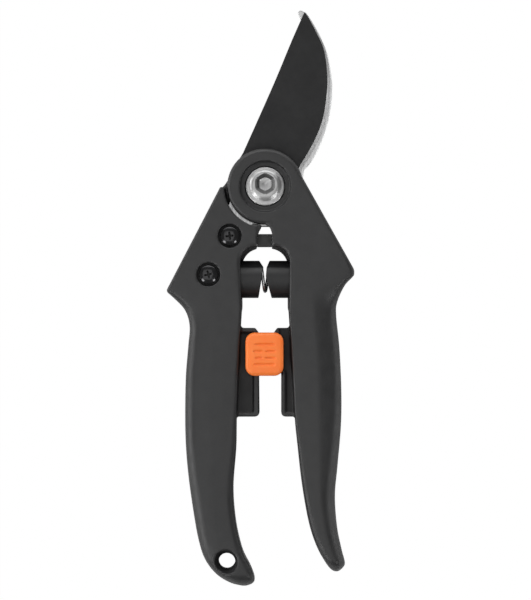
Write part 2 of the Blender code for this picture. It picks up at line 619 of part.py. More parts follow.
# ---- lock ---------------------------------------------------------------------------------
def rounded_rectangle(middle, size, radius, steps):
    x, y = size[0] / 2 - radius, size[1] / 2 - radius
    corners = [(x, y, 0), (-x, y, 90), (-x, -y, 180), (x, -y, 270)]
    points = []
    for cx, cy, start in corners:
        points += arc((middle[0] + cx, middle[1] + cy), radius, start, start + 90, steps)
    return points


def build_button(parent, mat):
    """The thumb slide: a rounded pad with four grip grooves and a short claw underneath."""
    button = plate("lock_button", rounded_rectangle(BUTTON_MIDDLE, BUTTON_SIZE, 3.0, 4),
                   BUTTON_BOTTOM, BUTTON_TOP, parent, mat)
    rim = button.modifiers.new("rounded_rim", "BEVEL")
    rim.width = 1.3 * MM
    rim.segments = 2
    rim.limit_method = "ANGLE"
    rim.angle_limit = math.radians(60)
    x, y = BUTTON_MIDDLE
    for i, offset in enumerate((3.5, 1.1, -1.3, -3.7)):
        cut(button, box(f"groove_{i}", (x - 4.2, y + offset - 0.35, BUTTON_TOP - 0.6),
                        (x + 4.2, y + offset + 0.35, BUTTON_TOP + 1.0), parent))
    join(button, box("claw", *CLAW, parent), box("tongue", *TONGUE, parent))
    cut(button, cylinder("button_screw_hole", LOCK_SCREW, 1.3, 10.0, 16.4, parent, sides=16))
    return button


def build_lock(parent, orange, black, steel):
    """Button in front and slider behind hold the left plate's free edge between them."""
    build_button(parent, orange)
    slider = box("lock_slider", *SLIDER, parent, black)
    join(slider, box("slider_neck", *SLIDER_NECK, parent))
    cut(slider, cylinder("slider_screw_hole", LOCK_SCREW, 1.1, 0.0, 14.0, parent, sides=16))
    turned("lock_screw", [(0.0, 16.1), (0.8, 16.1), (0.8, 1.2), (2.0, 1.2), (2.0, 0.4),
                          (0.0, 0.4)], (*LOCK_SCREW, 0.0), parent, steel, sides=16)


def build_detent(parent, mat):
    """A leaf in a groove of the lock plate, humped where the slider stops."""
    thickness = 0.35
    low = PLATE_BACK + 0.3
    sides = [(-53.4, low), (-64.0, low), (-66.0, low + 0.25), (-68.0, low), (-78.6, low)]
    points = sides + [(y, z + thickness) for y, z in reversed(sides)]
    leaf = plate("lock_detent_spring", points, -0.65, 0.65, parent, mat)
    leaf.rotation_euler = (math.radians(90), 0.0, math.radians(90))
    leaf.location = Vector((-7.45, 0.0, 0.0)) * MM
    return leaf


# ---- assembly -----------------------------------------------------------------------------
for old in list(bpy.data.objects):
    bpy.data.objects.remove(old)

SHEARS = bpy.data.collections.new("pruning_shears")
CUTTERS = bpy.data.collections.new("cutters")
bpy.context.scene.collection.children.link(SHEARS)
bpy.context.scene.collection.children.link(CUTTERS)


def pivot_empty(name):
    empty = bpy.data.objects.new(name, None)
    SHEARS.objects.link(empty)
    empty.location = Vector((*PIVOT, 0.0)) * MM
    return empty


fixed_half = pivot_empty("fixed_half")
moving_half = pivot_empty("moving_half")
lock_half = pivot_empty("lock_half")
bpy.context.view_layer.update()

handle_plastic = material("handle_plastic", (0.045, 0.045, 0.047), 0.5)
screw_black = material("screw_black", (0.02, 0.02, 0.022), 0.35, 0.6)
blade_coating = material("blade_coating", (0.03, 0.03, 0.032), 0.4, 0.3)
hook_steel = material("hook_steel", (0.5, 0.5, 0.51), 0.3, 1.0)
bolt_steel = material("bolt_steel", (0.62, 0.62, 0.63), 0.22, 1.0)
spring_steel = material("spring_steel", (0.5, 0.5, 0.5), 0.3, 1.0)
bush_bronze = material("bush_bronze", (0.5, 0.33, 0.16), 0.35, 1.0)
insert_brass = material("insert_brass", (0.65, 0.5, 0.22), 0.3, 1.0)
bumper_rubber = material("bumper_rubber", (0.02, 0.02, 0.02), 0.7)
button_orange = material("button_orange", (0.95, 0.24, 0.06), 0.4)

build_left_handle(fixed_half, handle_plastic)
build_right_handle(moving_half, handle_plastic)
build_hook(fixed_half, hook_steel)
build_blade(moving_half, blade_coating)
build_pivot(fixed_half, bolt_steel, bush_bronze)
build_fasteners(False, ("upper_hook", "lower_hook"), 1, HOOK_BOTTOM - GAP, fixed_half,
                screw_black, insert_brass)
build_fasteners(True, ("upper_blade", "lower_blade"), -1, BLADE_TOP + GAP, moving_half,
                screw_black, insert_brass)
build_cup("left_spring_cup", -1, LEFT_MOUTH, fixed_half, handle_plastic)
build_cup("right_spring_cup", 1, RIGHT_MOUTH, moving_half, handle_plastic)
build_spring(fixed_half, spring_steel)
plate("bumper", bumper_outline(0.0), BUMPER_BOTTOM, BUMPER_TOP, fixed_half, bumper_rubber)
build_lock(lock_half, button_orange, handle_plastic, spring_steel)
build_detent(fixed_half, spring_steel)
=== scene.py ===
import json
import math

import bmesh
import bpy
from mathutils import Matrix, Vector


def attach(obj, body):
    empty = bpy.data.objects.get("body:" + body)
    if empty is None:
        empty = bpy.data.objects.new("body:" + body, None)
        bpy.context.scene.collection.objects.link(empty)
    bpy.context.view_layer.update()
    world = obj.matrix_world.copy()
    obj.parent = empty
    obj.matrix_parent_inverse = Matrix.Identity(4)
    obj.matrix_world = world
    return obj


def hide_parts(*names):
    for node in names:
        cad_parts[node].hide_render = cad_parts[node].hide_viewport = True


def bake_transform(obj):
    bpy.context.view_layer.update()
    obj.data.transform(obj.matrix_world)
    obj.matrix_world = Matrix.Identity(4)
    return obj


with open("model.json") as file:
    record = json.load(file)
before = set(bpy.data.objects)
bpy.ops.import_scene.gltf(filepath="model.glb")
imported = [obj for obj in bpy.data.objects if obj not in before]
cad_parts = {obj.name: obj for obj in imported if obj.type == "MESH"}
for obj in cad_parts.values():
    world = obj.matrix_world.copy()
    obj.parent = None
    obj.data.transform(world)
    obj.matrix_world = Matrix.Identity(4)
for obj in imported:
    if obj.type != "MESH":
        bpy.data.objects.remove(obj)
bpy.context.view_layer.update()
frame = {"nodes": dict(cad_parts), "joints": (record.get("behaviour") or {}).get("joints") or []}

MM = 0.001
PIVOT = Vector(frame["joints"][0]["pos_m"])
TO_FRAME = Matrix.Translation((PIVOT.x, PIVOT.y, 0.0)) @ Matrix.Scale(MM, 4)

# ---- dimensions, as in the CAD source -----------------------------------------------------
GAP = 0.3                     # clearance between neighbouring pieces
HEAD_TOP = 16.5               # front face of the handles' broad upper part
GRIP_TOP = 17.0               # front of the grips
HOOK_BOTTOM, HOOK_TOP = 5.5, 8.7
BLADE_BOTTOM, BLADE_TOP = 9.0, 11.7
DISC_RADIUS = 13.5            # the round cheeks over the pivot
NOTCH_RADIUS = 14.6           # the other handle's cut-out round a cheek
COUNTERBORE_RADIUS = 9.1      # the dish round the bolt's head, and the nut's pocket
DISH_DEPTH = 1.2
COUNTERBORE_DEPTH = 3.1       # from the front face down to the bolt's seat
BOLT_RADIUS = 4.0
BOLT_HEAD_RADIUS = 6.9
BLADE_HOLE_RADIUS = 5.7
UPPER_SCREW = (-12.6, -17.6)  # the hook's two screws; the blade's are their mirror images
LOWER_SCREW = (-20.2, -31.3)
SCREW_HEAD_RADIUS = 3.4
SCREW_RECESS_RADIUS = 4.2
SCREW_RECESS_DEPTH = 1.7
SCREW_RADIUS = 1.8
SCREW_HOLE_RADIUS = 2.3       # clearance holes for the screws' shanks
INSERT_RADIUS = 3.0
INSERT_LENGTH = 3.3
ARCH_LEFT, ARCH_RIGHT, ARCH_TOP = -8.1, 8.0, -22.1
ARCH_CORNER = 4.9
PLATE_TOP_Y, PLATE_BOTTOM_Y = -50.3, -81.9
PLATE_BACK, PLATE_FACE, PLATE_RIM = 3.5, 12.0, 12.8
CUP_Y, CUP_Z = -33.0, 8.4
CUP_RADIUS, CUP_BORE = 6.65, 5.15
CUP_DEPTH_X = 13.3            # how far a cup reaches from the middle into its handle
CUP_FLOOR = 1.2               # thickness of a spring cup's closed end
SPRING_RADIUS, SPRING_WIRE, SPRING_TURNS = 4.25, 0.58, 9
BUTTON_SIZE = (13.5, 15.4)
BUTTON_MIDDLE = (-0.25, -59.6)
BUTTON_BOTTOM, BUTTON_TOP = 13.1, 18.0
LOCK_SCREW = (-0.1, -59.6)
HOLE_CENTRE, HOLE_RADIUS = (-13.6, -133.2), 2.95
FAR_BELOW, FAR_ABOVE = -2.0, 20.0  # heights that a cutter which goes right through reaches
CHEEK_BACK = 0.4              # back face of the hook's round cheek
WEB = [(-12.8, 3.2), (-14.6, 0.6), (-16.3, -1.0), (-12.0, -6.0), (-8.0, 0.0)]
NUT_POCKET_TOP = 3.3
NUT_RADIUS, NUT_HEIGHT = 7.3, 1.9
BUMPER_POCKET_TOP = 13.8
BUMPER_BOTTOM, BUMPER_TOP = 3.5, 13.5
HOOK_CLEARANCE = ((6.0, -3.0, -2.0), (22.0, 9.0, 9.0))
CLAW_POCKET = ((2.0, -67.0, 9.4), (6.2, -54.0, 20.0))
CLAW = ((3.6, -62.6, 10.0), (5.2, -56.6, 13.9))
TONGUE = ((-6.6, -65.6, 12.3), (-4.4, -53.6, 13.9))
LEFT_MOUTH = [(-2.2, -25.0), (-2.2, -26.2), (-0.6, -28.7), (-2.4, -39.7), (-2.5, -41.0),
              (9.0, -41.0), (9.0, -25.0)]
RIGHT_MOUTH = [(1.6, -25.0), (1.6, -26.2), (0.5, -28.8), (0.2, -32.0), (2.4, -40.0),
               (2.6, -41.0), (-9.0, -41.0), (-9.0, -25.0)]
# Edges of the handles, from the shoulder to the end of the grip.
LEFT_OUTER = [(-35.3, -37.3), (-32.6, -39.6), (-28.6, -43.9), (-26.9, -49.5), (-27.4, -57.0),
              (-28.3, -69.0), (-28.4, -88.0), (-27.3, -103.0), (-25.0, -119.0),
              (-23.3, -127.3), (-21.7, -132.0), (-19.3, -135.8), (-16.1, -138.9),
              (-12.0, -141.2), (-8.6, -142.1)]
LEFT_INNER = [(-8.3, -44.0), (-9.5, -64.5), (-10.1, -82.0), (-10.3, -93.0), (-11.3, -107.0),
              (-10.4, -119.0), (-8.1, -129.0), (-5.2, -135.0), (-3.7, -139.4), (-4.6, -141.2),
              (-6.6, -142.1)]
RIGHT_OUTER = [(31.7, -29.6), (31.6, -31.6), (28.3, -35.2), (25.6, -41.2), (25.3, -46.1),
               (26.4, -57.0), (27.1, -71.7), (27.0, -84.6), (25.8, -99.0), (24.85, -110.0),
               (25.6, -121.0), (27.2, -129.0), (28.4, -133.8), (27.6, -135.7), (26.2, -137.0)]
RIGHT_INNER = [(8.3, -44.0), (9.7, -66.0), (10.5, -82.0), (11.6, -93.0), (13.1, -106.0),
               (15.4, -119.0), (18.1, -127.5), (21.2, -133.3), (23.4, -136.2), (24.8, -137.0)]
# Straight outer edges above the shoulders, and the inner edges above the window.
LEFT_LINE = [(-16.0, -0.2), (-35.3, -37.3)]
RIGHT_LINE = [(12.1, 5.3), (31.7, -29.6)]
LEFT_STOP_X, RIGHT_STOP_X = -2.9, 2.4
TANG = [(-4.3, -13.6), (-9.3, -18.6), (-14.6, -26.5), (-15.6, -32.2)]
TANG_END_RADIUS = 4.9
TANG_OUTER = [(-25.0, -30.6), (-18.3, -17.2), (-12.7, -5.2)]
HOOK_OUTER = [(13.3, 2.0), (14.2, 6.0), (16.9, 9.6), (20.4, 16.7), (22.6, 23.8), (23.75, 31.0),
              (23.8, 38.1), (22.4, 46.5), (20.3, 52.4), (17.9, 57.0), (15.4, 61.0),
              (14.4, 62.2)]
HOOK_TIP = (12.75, 61.85, 1.0)  # x, y and radius
HOOK_ROUND, BLADE_ROUND = 13.3, 13.0  # radii of the steel round the pivot
HOOK_INNER = [(13.0, 58.8), (15.6, 52.0), (17.0, 45.0), (17.0, 37.0), (15.3, 29.0),
              (12.0, 22.0), (7.4, 16.4), (2.4, 13.5)]
BLADE_SPINE = [(-7.9, 12.0), (-2.6, 23.8), (3.7, 38.1), (9.6, 52.3), (13.9, 62.0)]
BLADE_EDGE = [(14.7, 61.7), (16.2, 59.4), (18.9, 54.5), (21.5, 48.8), (22.9, 40.5),
              (23.0, 33.0), (21.6, 24.0), (18.9, 16.7), (15.6, 10.6), (13.2, 6.6), (12.4, 3.5)]
BEVEL_DEPTH = 1.0

# ---- detail that the looks add or change --------------------------------------------------
DETENT_GROOVE = ((-8.3, -79.2, -1.0), (-6.6, -52.8, 4.8))
BEVEL_WIDTH = 1.1             # at the blade's root; it narrows to a fifth at the tip
BEVEL_TAPER = (62.0, 30.0)    # y of the tip, and how far from it the width is full
BLADE_RIM, HOOK_RIM = 0.18, 0.3  # small slopes round the steel's other edges
# Radius of the section's corners as (radius, y): outer edges, then inner edge.
LEFT_ROUNDING = [(1.1, -36.5), (2.4, -40.0), (2.8, -46.0), (3.2, -90.0), (4.0, -112.0),
                 (4.0, -136.0)]
RIGHT_ROUNDING = [(1.1, -26.0), (2.0, -32.0), (2.5, -40.0), (2.6, -70.0), (3.6, -92.0),
                  (4.4, -112.0), (3.6, -136.0)]
INNER_ROUNDING = [(0.4, -26.0), (0.9, -44.0), (1.0, -82.0), (1.7, -92.0), (2.4, -112.0),
                  (2.4, -136.0)]
END_ROUNDING = 5.0            # length over which a grip's end gets thinner
CORNER_STRETCH = 1.1          # how much wider than high a section's corners are
END_THINNING = 0.32           # share of the thickness that each face loses at the very end
FRONT_FACE = [(HEAD_TOP, -44.0), (GRIP_TOP, -60.0)]
# How far a handle's front falls from its middle to its edges, as (fall, y).
INNER_CROWN = [(0.0, -40.0), (0.3, -70.0)]
LEFT_CROWN = [(0.0, -30.0), (1.3, -38.0), (1.6, -46.0), (1.6, -100.0), (0.9, -136.0)]
RIGHT_CROWN = [(0.0, -24.0), (0.6, -34.6), (2.2, -40.0), (3.4, -47.0), (3.4, -84.0),
               (2.2, -110.0), (1.2, -132.0)]
CROWN_POWER = 1.6             # bends that fall, so that it's steepest at the edge
HANDLE_VOXEL = 0.4
FINE_VOXEL = 0.18
STATION_STEP = 0.8  # between a handle's sections
CHAMFER = 1.2                 # sloped border round the arch and the cheek
ARCH_DRAFT = 0.8              # how much wider the arch is in front than at the back
ARCH_BACK_CORNER = 6.3        # the arch's corner radius at the back
ARCH_SLOPE = 0.5              # how deep the slope round its front edge is
CATCH_RECESS = 0.6            # depth of the right plate's recess
LEFT_RECESS_RIM = [(-3.9, PLATE_TOP_Y), (-3.9, PLATE_BOTTOM_Y)]
RIGHT_RECESS_RIM = [(4.9, PLATE_TOP_Y), (4.9, -64.0), (7.1, -66.2), (7.1, PLATE_BOTTOM_Y)]
# Tips of the two halves over the bumper, where the notch meets the handle's inner edge.
LEFT_TIP = [(-4.9, -17.0), (-4.9, -13.6), (-3.9, -13.2), (-1.7, -13.6), (-1.25, -14.2),
            (-1.6, -15.2), (-2.2, -16.1), (-2.4, -17.0)]
RIGHT_TIP = [(3.6, -12.4), (3.6, -16.3), (2.3, -16.3), (1.95, -15.2), (1.4, -14.3),
             (0.6, -13.9), (0.6, -12.8)]
BUTTON_CORNER, BUTTON_ROUNDING = 3.3, 1.5
# The button's grooves: how far up from its middle, then from where to where along x.
GROOVES = [(3.45, -3.8, 4.0), (1.0, -4.1, -0.6), (1.0, 0.2, 4.2), (-1.35, -3.4, -0.6),
           (-1.35, 0.2, 4.2), (-3.65, -4.1, 4.0)]
GROOVE_SIZE = 0.5
CUP_FACET = (7.0, 50.8)       # the flat on a cup's upper side, as degrees round its circle
BUMPER_SPREAD = 0.28          # how far the bumper's sides move out to close the gaps
# How steep a screw's head is, as (radius, degrees), and its cross: reach, half width and depth.
SCREW_SLOPES = [(0.8, 0.0), (2.35, 18.0), (3.15, 25.0), (3.3, 50.0), (SCREW_HEAD_RADIUS, 70.0)]
CROSS_REACH, CROSS_HALF, CROSS_DEPTH = (1.95, 0.8), (0.42, 0.25), (-0.4, 1.05)
SOCKET_RISE = 0.93            # how far up from the bolt's middle its socket sits
SOCKET_REACH = 3.9            # radius that holds all of the socket
HEXAGON_POWER = 9             # a higher power makes the socket's corners sharper


# ---- outlines -----------------------------------------------------------------------------
def arc(centre, radius, start, end, steps):
    """Points on a circle from one angle to another, in degrees."""
    angles = [math.radians(start + (end - start) * i / steps) for i in range(steps + 1)]
    return [(centre[0] + radius * math.cos(a), centre[1] + radius * math.sin(a)) for a in angles]


def circle(centre, radius, sides):
    return arc(centre, radius, 0, 360 - 360 / sides, sides - 1)


def smooth(points, steps):
    """A Catmull-Rom curve through the points."""
    padded = [points[0]] + list(points) + [points[-1]]
    curve = []
    for i in range(len(points) - 1):
        a, b, c, d = (Vector(p) for p in padded[i:i + 4])
        for step in range(steps):
            t = step / steps
            curve.append(0.5 * (2 * b + (c - a) * t + (2 * a - 5 * b + 4 * c - d) * t ** 2
                                + (3 * b - a - 3 * c + d) * t ** 3))
    curve.append(Vector(points[-1]))
    return [tuple(p) for p in curve]


def mirrored(points):
    """Points on the other side of the pivot's upright line."""
    return [(-x, y) for x, y in points]


def value_at(points, y):
    """Reads (value, y) pairs, listed downwards, at a height y, by straight lines."""
    if y >= points[0][1]:
        return points[0][0]
    for (v0, y0), (v1, y1) in zip(points, points[1:]):
        if y >= y1:
            return v0 + (v1 - v0) * (y0 - y) / (y0 - y1)
    return points[-1][0]


def tang_outline(margin):
    """A tang from the pivot's edge round its end and back, grown by a margin."""
    centre = LOWER_SCREW
    start = math.degrees(math.atan2(TANG[-1][1] - centre[1], TANG[-1][0] - centre[0]))
    end = math.degrees(math.atan2(TANG_OUTER[0][1] - centre[1], TANG_OUTER[0][0] - centre[0]))
    inner = [(x + margin * 0.85, y - margin * 0.53) for x, y in TANG]
    outer = [(x - margin * 0.88, y + margin * 0.47) for x, y in TANG_OUTER]
    return inner + arc(centre, TANG_END_RADIUS + margin, start - 6, end - 360 + 6, 24) + outer


def rounded_outline(middle, size, radius, steps):
    """A rectangle with rounded corners, anticlockwise."""
    x, y = size[0] / 2 - radius, size[1] / 2 - radius
    corners = [(x, y, 0), (-x, y, 90), (-x, -y, 180), (x, -y, 270)]
    points = []
    for cx, cy, start in corners:
        points += arc((middle[0] + cx, middle[1] + cy), radius, start, start + 90, steps)
    return points


def inset(points, distances):
    """Moves a closed anticlockwise outline inwards by a distance, or by one for each point."""
    moved = []
    count = len(points)
    if isinstance(distances, float):
        distances = [distances] * count
    for i in range(count):
        before = Vector(points[i]) - Vector(points[i - 1])
        after = Vector(points[(i + 1) % count]) - Vector(points[i])
        normals = [Vector((-d.y, d.x)).normalized() for d in (before, after)]
        middle = (normals[0] + normals[1]).normalized()
        spread = max(0.45, middle.dot(normals[0]))
        moved.append(tuple(Vector(points[i]) + middle * (distances[i] / spread)))
    return moved


# ---- meshes -------------------------------------------------------------------------------
def linked(name, data):
    obj = bpy.data.objects.new(name, data)
    bpy.context.scene.collection.objects.link(obj)
    return obj


def new_object(name, verts, faces):
    """An object with these faces, turned to look outwards."""
    mesh = bpy.data.meshes.new(name)
    mesh.from_pydata(verts, [], faces)
    bm = bmesh.new()
    bm.from_mesh(mesh)
    bmesh.ops.recalc_face_normals(bm, faces=bm.faces)
    bm.to_mesh(mesh)
    bm.free()
    return linked(name, mesh)


def lofted(name, rings):
    """Closed rings of equal length, joined in order and capped at both ends."""
    size = len(rings[0])
    verts = [v for ring in rings for v in ring]
    faces = []
    for r in range(len(rings) - 1):
        for i in range(size):
            j = (i + 1) % size
            faces.append((r * size + i, r * size + j, (r + 1) * size + j, (r + 1) * size + i))
    faces.append(tuple(range(size)))
    faces.append(tuple(range((len(rings) - 1) * size, len(rings) * size)))
    return new_object(name, verts, faces)


def stacked(name, levels):
    """A solid through level outlines of equal length, as (outline, z)."""
    return lofted(name, [[(x, y, z) for x, y in outline] for outline, z in levels])


def prism(name, points, bottom, top):
    return stacked(name, [(points, bottom), (points, top)])


def cylinder(name, centre, radius, bottom, top, sides=96):
    return prism(name, circle(centre, radius, sides), bottom, top)


def cone(name, centre, low, high, sides=96):
    """A truncated cone between two (radius, z) ends."""
    return stacked(name, [(circle(centre, r, sides), z) for r, z in (low, high)])


def box(name, low, high):
    (x0, y0, z0), (x1, y1, z1) = low, high
    return prism(name, [(x0, y0), (x1, y0), (x1, y1), (x0, y1)], z0, z1)


def crossbar(name, outline, side, start, end):
    """A bar along x with a (y, z) outline; side -1 mirrors it to the left."""
    return lofted(name, [[(side * x, y, z) for y, z in outline] for x in (start, end)])


def turned(name, profile, centre=(0.0, 0.0), sides=96):
    """A solid turned about an upright line; a profile that leaves the line open is closed."""
    verts, faces, rings = [], [], []
    for r, z in profile:
        points = [tuple(centre)] if r == 0.0 else circle(centre, r, sides)
        rings.append(range(len(verts), len(verts) + len(points)))
        verts += [(x, y, z) for x, y in points]
    pairs = list(zip(rings, rings[1:]))
    if len(rings[0]) > 1:
        pairs.append((rings[-1], rings[0]))
    for a, b in pairs:
        for i in range(sides):
            j = (i + 1) % sides
            if len(a) == 1 and len(b) > 1:
                faces.append((a[0], b[i], b[j]))
            elif len(b) == 1 and len(a) > 1:
                faces.append((a[i], b[0], a[j]))
            elif len(a) > 1:
                faces.append((a[i], b[i], b[j], a[j]))
    return new_object(name, verts, faces)


def rounded_profile(points, radius, steps):
    """Rounds the inner corners of an open (r, z) profile."""
    made = [points[0]]
    for before, here, after in zip(points, points[1:], points[2:]):
        a, b, c = Vector(before), Vector(here), Vector(after)
        reach = min(radius, (a - b).length * 0.45, (c - b).length * 0.45)
        start = b + (a - b).normalized() * reach
        end = b + (c - b).normalized() * reach
        for i in range(steps + 1):
            t = i / steps
            p = start * (1 - t) ** 2 + b * 2 * t * (1 - t) + end * t ** 2
            made.append((max(0.0, p.x), p.y))
    made.append(points[-1])
    return made


def applied(obj):
    """Makes the object's modifiers part of its mesh."""
    graph = bpy.context.evaluated_depsgraph_get()
    mesh = bpy.data.meshes.new_from_object(obj.evaluated_get(graph))
    obj.modifiers.clear()
    old = obj.data
    obj.data = mesh
    bpy.data.meshes.remove(old)
    return obj


def combine(obj, operation, tools):
    """One boolean for each tool, in order; the tools are used up."""
    for tool in tools:
        change = obj.modifiers.new(tool.name, "BOOLEAN")
        change.operation = operation
        change.solver = "EXACT"
        change.object = tool
    applied(obj)
    for tool in tools:
        bpy.data.objects.remove(tool)
    return obj


def join(obj, *tools):
    return combine(obj, "UNION", tools)


def cut(obj, *tools):
    return combine(obj, "DIFFERENCE", tools)


def moulded(obj, voxel, passes):
    """Remakes a solid on a fine grid and relaxes it, which rounds every edge a little."""
    remesh = obj.modifiers.new("grid", "REMESH")
    remesh.mode = "VOXEL"
    remesh.voxel_size = voxel
    remesh.adaptivity = 0.0
    relax = obj.modifiers.new("relax", "SMOOTH")
    relax.factor = 0.5
    relax.iterations = passes
    return applied(obj)


def chamfered(obj, width, angle):
    """Rounds every edge that is sharper than the angle, in degrees."""
    bevel = obj.modifiers.new("edges", "BEVEL")
    bevel.width = width
    bevel.segments = 2
    bevel.limit_method = "ANGLE"
    bevel.angle_limit = math.radians(angle)
    return applied(obj)


def settle(obj, material, body, node, sharp=None):
    """Puts a finished piece in the frame, on its body, in place of its CAD node.

    Without a material it keeps its own, and without a body it is left unattached.
    """
    obj.data.transform(TO_FRAME)
    if material:
        obj.data.materials.clear()
        obj.data.materials.append(material)
    obj.data.shade_smooth()
    if sharp:
        obj.data.set_sharp_from_angle(angle=math.radians(sharp))
    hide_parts(node)
    if body:
        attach(obj, body)
    return obj


# ---- materials ----------------------------------------------------------------------------
class Nodes:
    """A new material with a Principled shader, and short ways to add nodes to it.

    A node's input is given a value or another node's output.
    """

    def __init__(self, name, colour, roughness, metallic=0.0, **inputs):
        self.material = bpy.data.materials.new(name)
        self.material.use_nodes = True
        self.tree = self.material.node_tree
        self.shader = self.tree.nodes["Principled BSDF"]
        self.feed(self.shader, Base_Color=(*colour, 1.0), Roughness=roughness,
                  Metallic=metallic, **inputs)
        self.place = self.node("TexCoord").outputs["Object"]
        self.height = None

    def put(self, socket, value):
        if isinstance(value, bpy.types.NodeSocket):
            self.tree.links.new(value, socket)
        else:
            socket.default_value = value

    def feed(self, node, **inputs):
        for name, value in inputs.items():
            self.put(node.inputs[name.replace("_", " ")], value)
        return node

    def node(self, kind, **inputs):
        return self.feed(self.tree.nodes.new("ShaderNode" + kind), **inputs)

    def mapped(self, scale, turn=0.0):
        return self.node("Mapping", Vector=self.place, Scale=scale,
                         Rotation=(0.0, 0.0, turn)).outputs["Vector"]

    def noise(self, scale, detail, vector=None):
        return self.node("TexNoise", Vector=vector or self.place, Scale=scale,
                         Detail=detail).outputs["Fac"]

    def spread(self, value, low, high, start=0.3, end=0.7):
        """Maps a texture's middle values to a range."""
        return self.node("MapRange", Value=value, From_Min=start, From_Max=end,
                         To_Min=low, To_Max=high).outputs["Result"]

    def cloud(self, scale, detail):
        """Soft patches, from 0 to 1."""
        return self.spread(self.noise(scale, detail), 0.0, 1.0)

    def math(self, operation, a, b):
        node = self.node("Math")
        node.operation = operation
        self.put(node.inputs[0], a)
        self.put(node.inputs[1], b)
        return node.outputs["Value"]

    def part(self, value, share):
        """A share of an output."""
        return self.math("MULTIPLY", value, share)

    def mix(self, share, low, high):
        """A colour between two: each a colour or a node's output."""
        node = self.node("Mix")
        node.data_type = "RGBA"
        self.feed(node, Factor=share)
        for socket, value in ((node.inputs[6], low), (node.inputs[7], high)):
            self.put(socket, (*value, 1.0) if isinstance(value, tuple) else value)
        return node.outputs[2]

    def edges(self, start, end):
        """From 0 on flat places to 1 on outer edges."""
        return self.spread(self.node("NewGeometry").outputs["Pointiness"], 0.0, 1.0, start, end)

    def bump(self, height, strength, distance):
        """Adds a bump on top of the ones before it."""
        node = self.node("Bump", Strength=strength, Distance=distance, Height=height)
        if self.height is not None:
            self.feed(node, Normal=self.height)
        self.height = node.outputs["Normal"]
        self.feed(self.shader, Normal=self.height)

    def colour(self, output):
        self.feed(self.shader, Base_Color=output)

    def roughness(self, output):
        self.feed(self.shader, Roughness=output)


def moulded_plastic(name, dark, light, rough, shine=0.5, grain=2600.0, depth=0.00002):
    """Black glass-filled nylon with a fine eroded grain, a little paler where it is rubbed."""
    m = Nodes(name, light, rough, Specular_IOR_Level=shine)
    speck = m.spread(m.noise(grain * 0.7, 2.0), 0.0, 1.0, 0.35, 0.75)
    body = m.mix(m.part(m.cloud(90.0, 4.0), 0.6), dark, light)
    body = m.mix(m.part(speck, 0.18), body, tuple(c * 1.9 for c in light))
    rubbed = m.math("MULTIPLY", m.edges(0.53, 0.62), m.spread(m.noise(420.0, 4.0), 0.35, 1.0))
    m.colour(m.mix(m.part(rubbed, 0.35), body, tuple(c * 2.6 for c in light)))
    m.roughness(m.spread(m.noise(260.0, 4.0), rough - 0.05, rough + 0.06))
    m.bump(m.noise(grain, 3.0), 0.5, depth)
    m.bump(m.noise(150.0, 2.0), 0.25, 0.00006)
    return m.material


def coated_steel(name):
    """Low-friction black coating, sprayed over a ground blade."""
    m = Nodes(name, (0.013, 0.013, 0.0135), 0.45, 0.2, Specular_IOR_Level=0.36)
    m.colour(m.mix(m.cloud(120.0, 5.0), (0.011, 0.011, 0.0115), (0.0165, 0.0165, 0.017)))
    m.roughness(m.spread(m.noise(500.0, 4.0), 0.38, 0.52))
    m.bump(m.noise(3200.0, 3.0), 0.35, 0.000012)
    m.bump(m.noise(1.0, 3.0, m.mapped((1500.0, 90.0, 1500.0), 0.5)), 0.15, 0.00001)
    return m.material


def ground_steel(name, turn, tone, rough):
    """Bare steel with fine grinding lines across the edge."""
    m = Nodes(name, (tone, tone, tone), rough, 1.0)
    lines = 2600.0
    scratch = m.noise(1.0, 4.0, m.mapped((lines, lines * 0.03, lines), turn))
    pale = tuple(tone * k for k in (1.12, 1.12, 1.13))
    dull = tuple(tone * k for k in (0.9, 0.9, 0.89))
    m.colour(m.mix(m.part(m.spread(scratch, 0.0, 1.0), 0.7), pale, dull))
    m.roughness(m.math("ADD", m.spread(scratch, rough - 0.08, rough + 0.08),
                       m.part(m.cloud(160.0, 3.0), 0.06)))
    m.bump(scratch, 0.2, 0.000006)
    return m.material


def turned_metal(name, pale, dull, rough, rings=2400.0):
    """Plated or bare metal with fine rings round the pivot's upright line."""
    m = Nodes(name, pale, rough, 1.0)
    x, y, z = m.node("SeparateXYZ", Vector=m.place).outputs
    dx = m.math("SUBTRACT", x, PIVOT.x)
    dy = m.math("SUBTRACT", y, PIVOT.y)
    radius = m.math("POWER", m.math("ADD", m.math("MULTIPLY", dx, dx),
                                    m.math("MULTIPLY", dy, dy)), 0.5)
    joined = m.node("CombineXYZ", X=m.part(radius, rings), Z=m.part(z, rings))
    line = m.noise(1.0, 3.0, joined.outputs["Vector"])
    cloud = m.cloud(700.0, 4.0)
    worn = m.part(m.spread(line, 0.0, 1.0), 0.45)
    m.colour(m.mix(m.math("MAXIMUM", worn, m.part(cloud, 0.6)), pale, dull))
    m.roughness(m.spread(cloud, rough, rough + 0.12, 0.0, 1.0))
    m.bump(line, 0.06, 0.000006)
    return m.material


def black_steel(name):
    """Black oxide screws, paler on their sharp rims."""
    m = Nodes(name, (0.045, 0.045, 0.046), 0.13, 0.85)
    body = m.mix(m.cloud(800.0, 4.0), (0.038, 0.038, 0.039), (0.054, 0.054, 0.056))
    m.colour(m.mix(m.part(m.edges(0.52, 0.6), 0.4), body, (0.1, 0.1, 0.104)))
    m.roughness(m.spread(m.noise(1500.0, 3.0), 0.12, 0.18))
    m.bump(m.noise(2600.0, 2.0), 0.15, 0.000006)
    return m.material


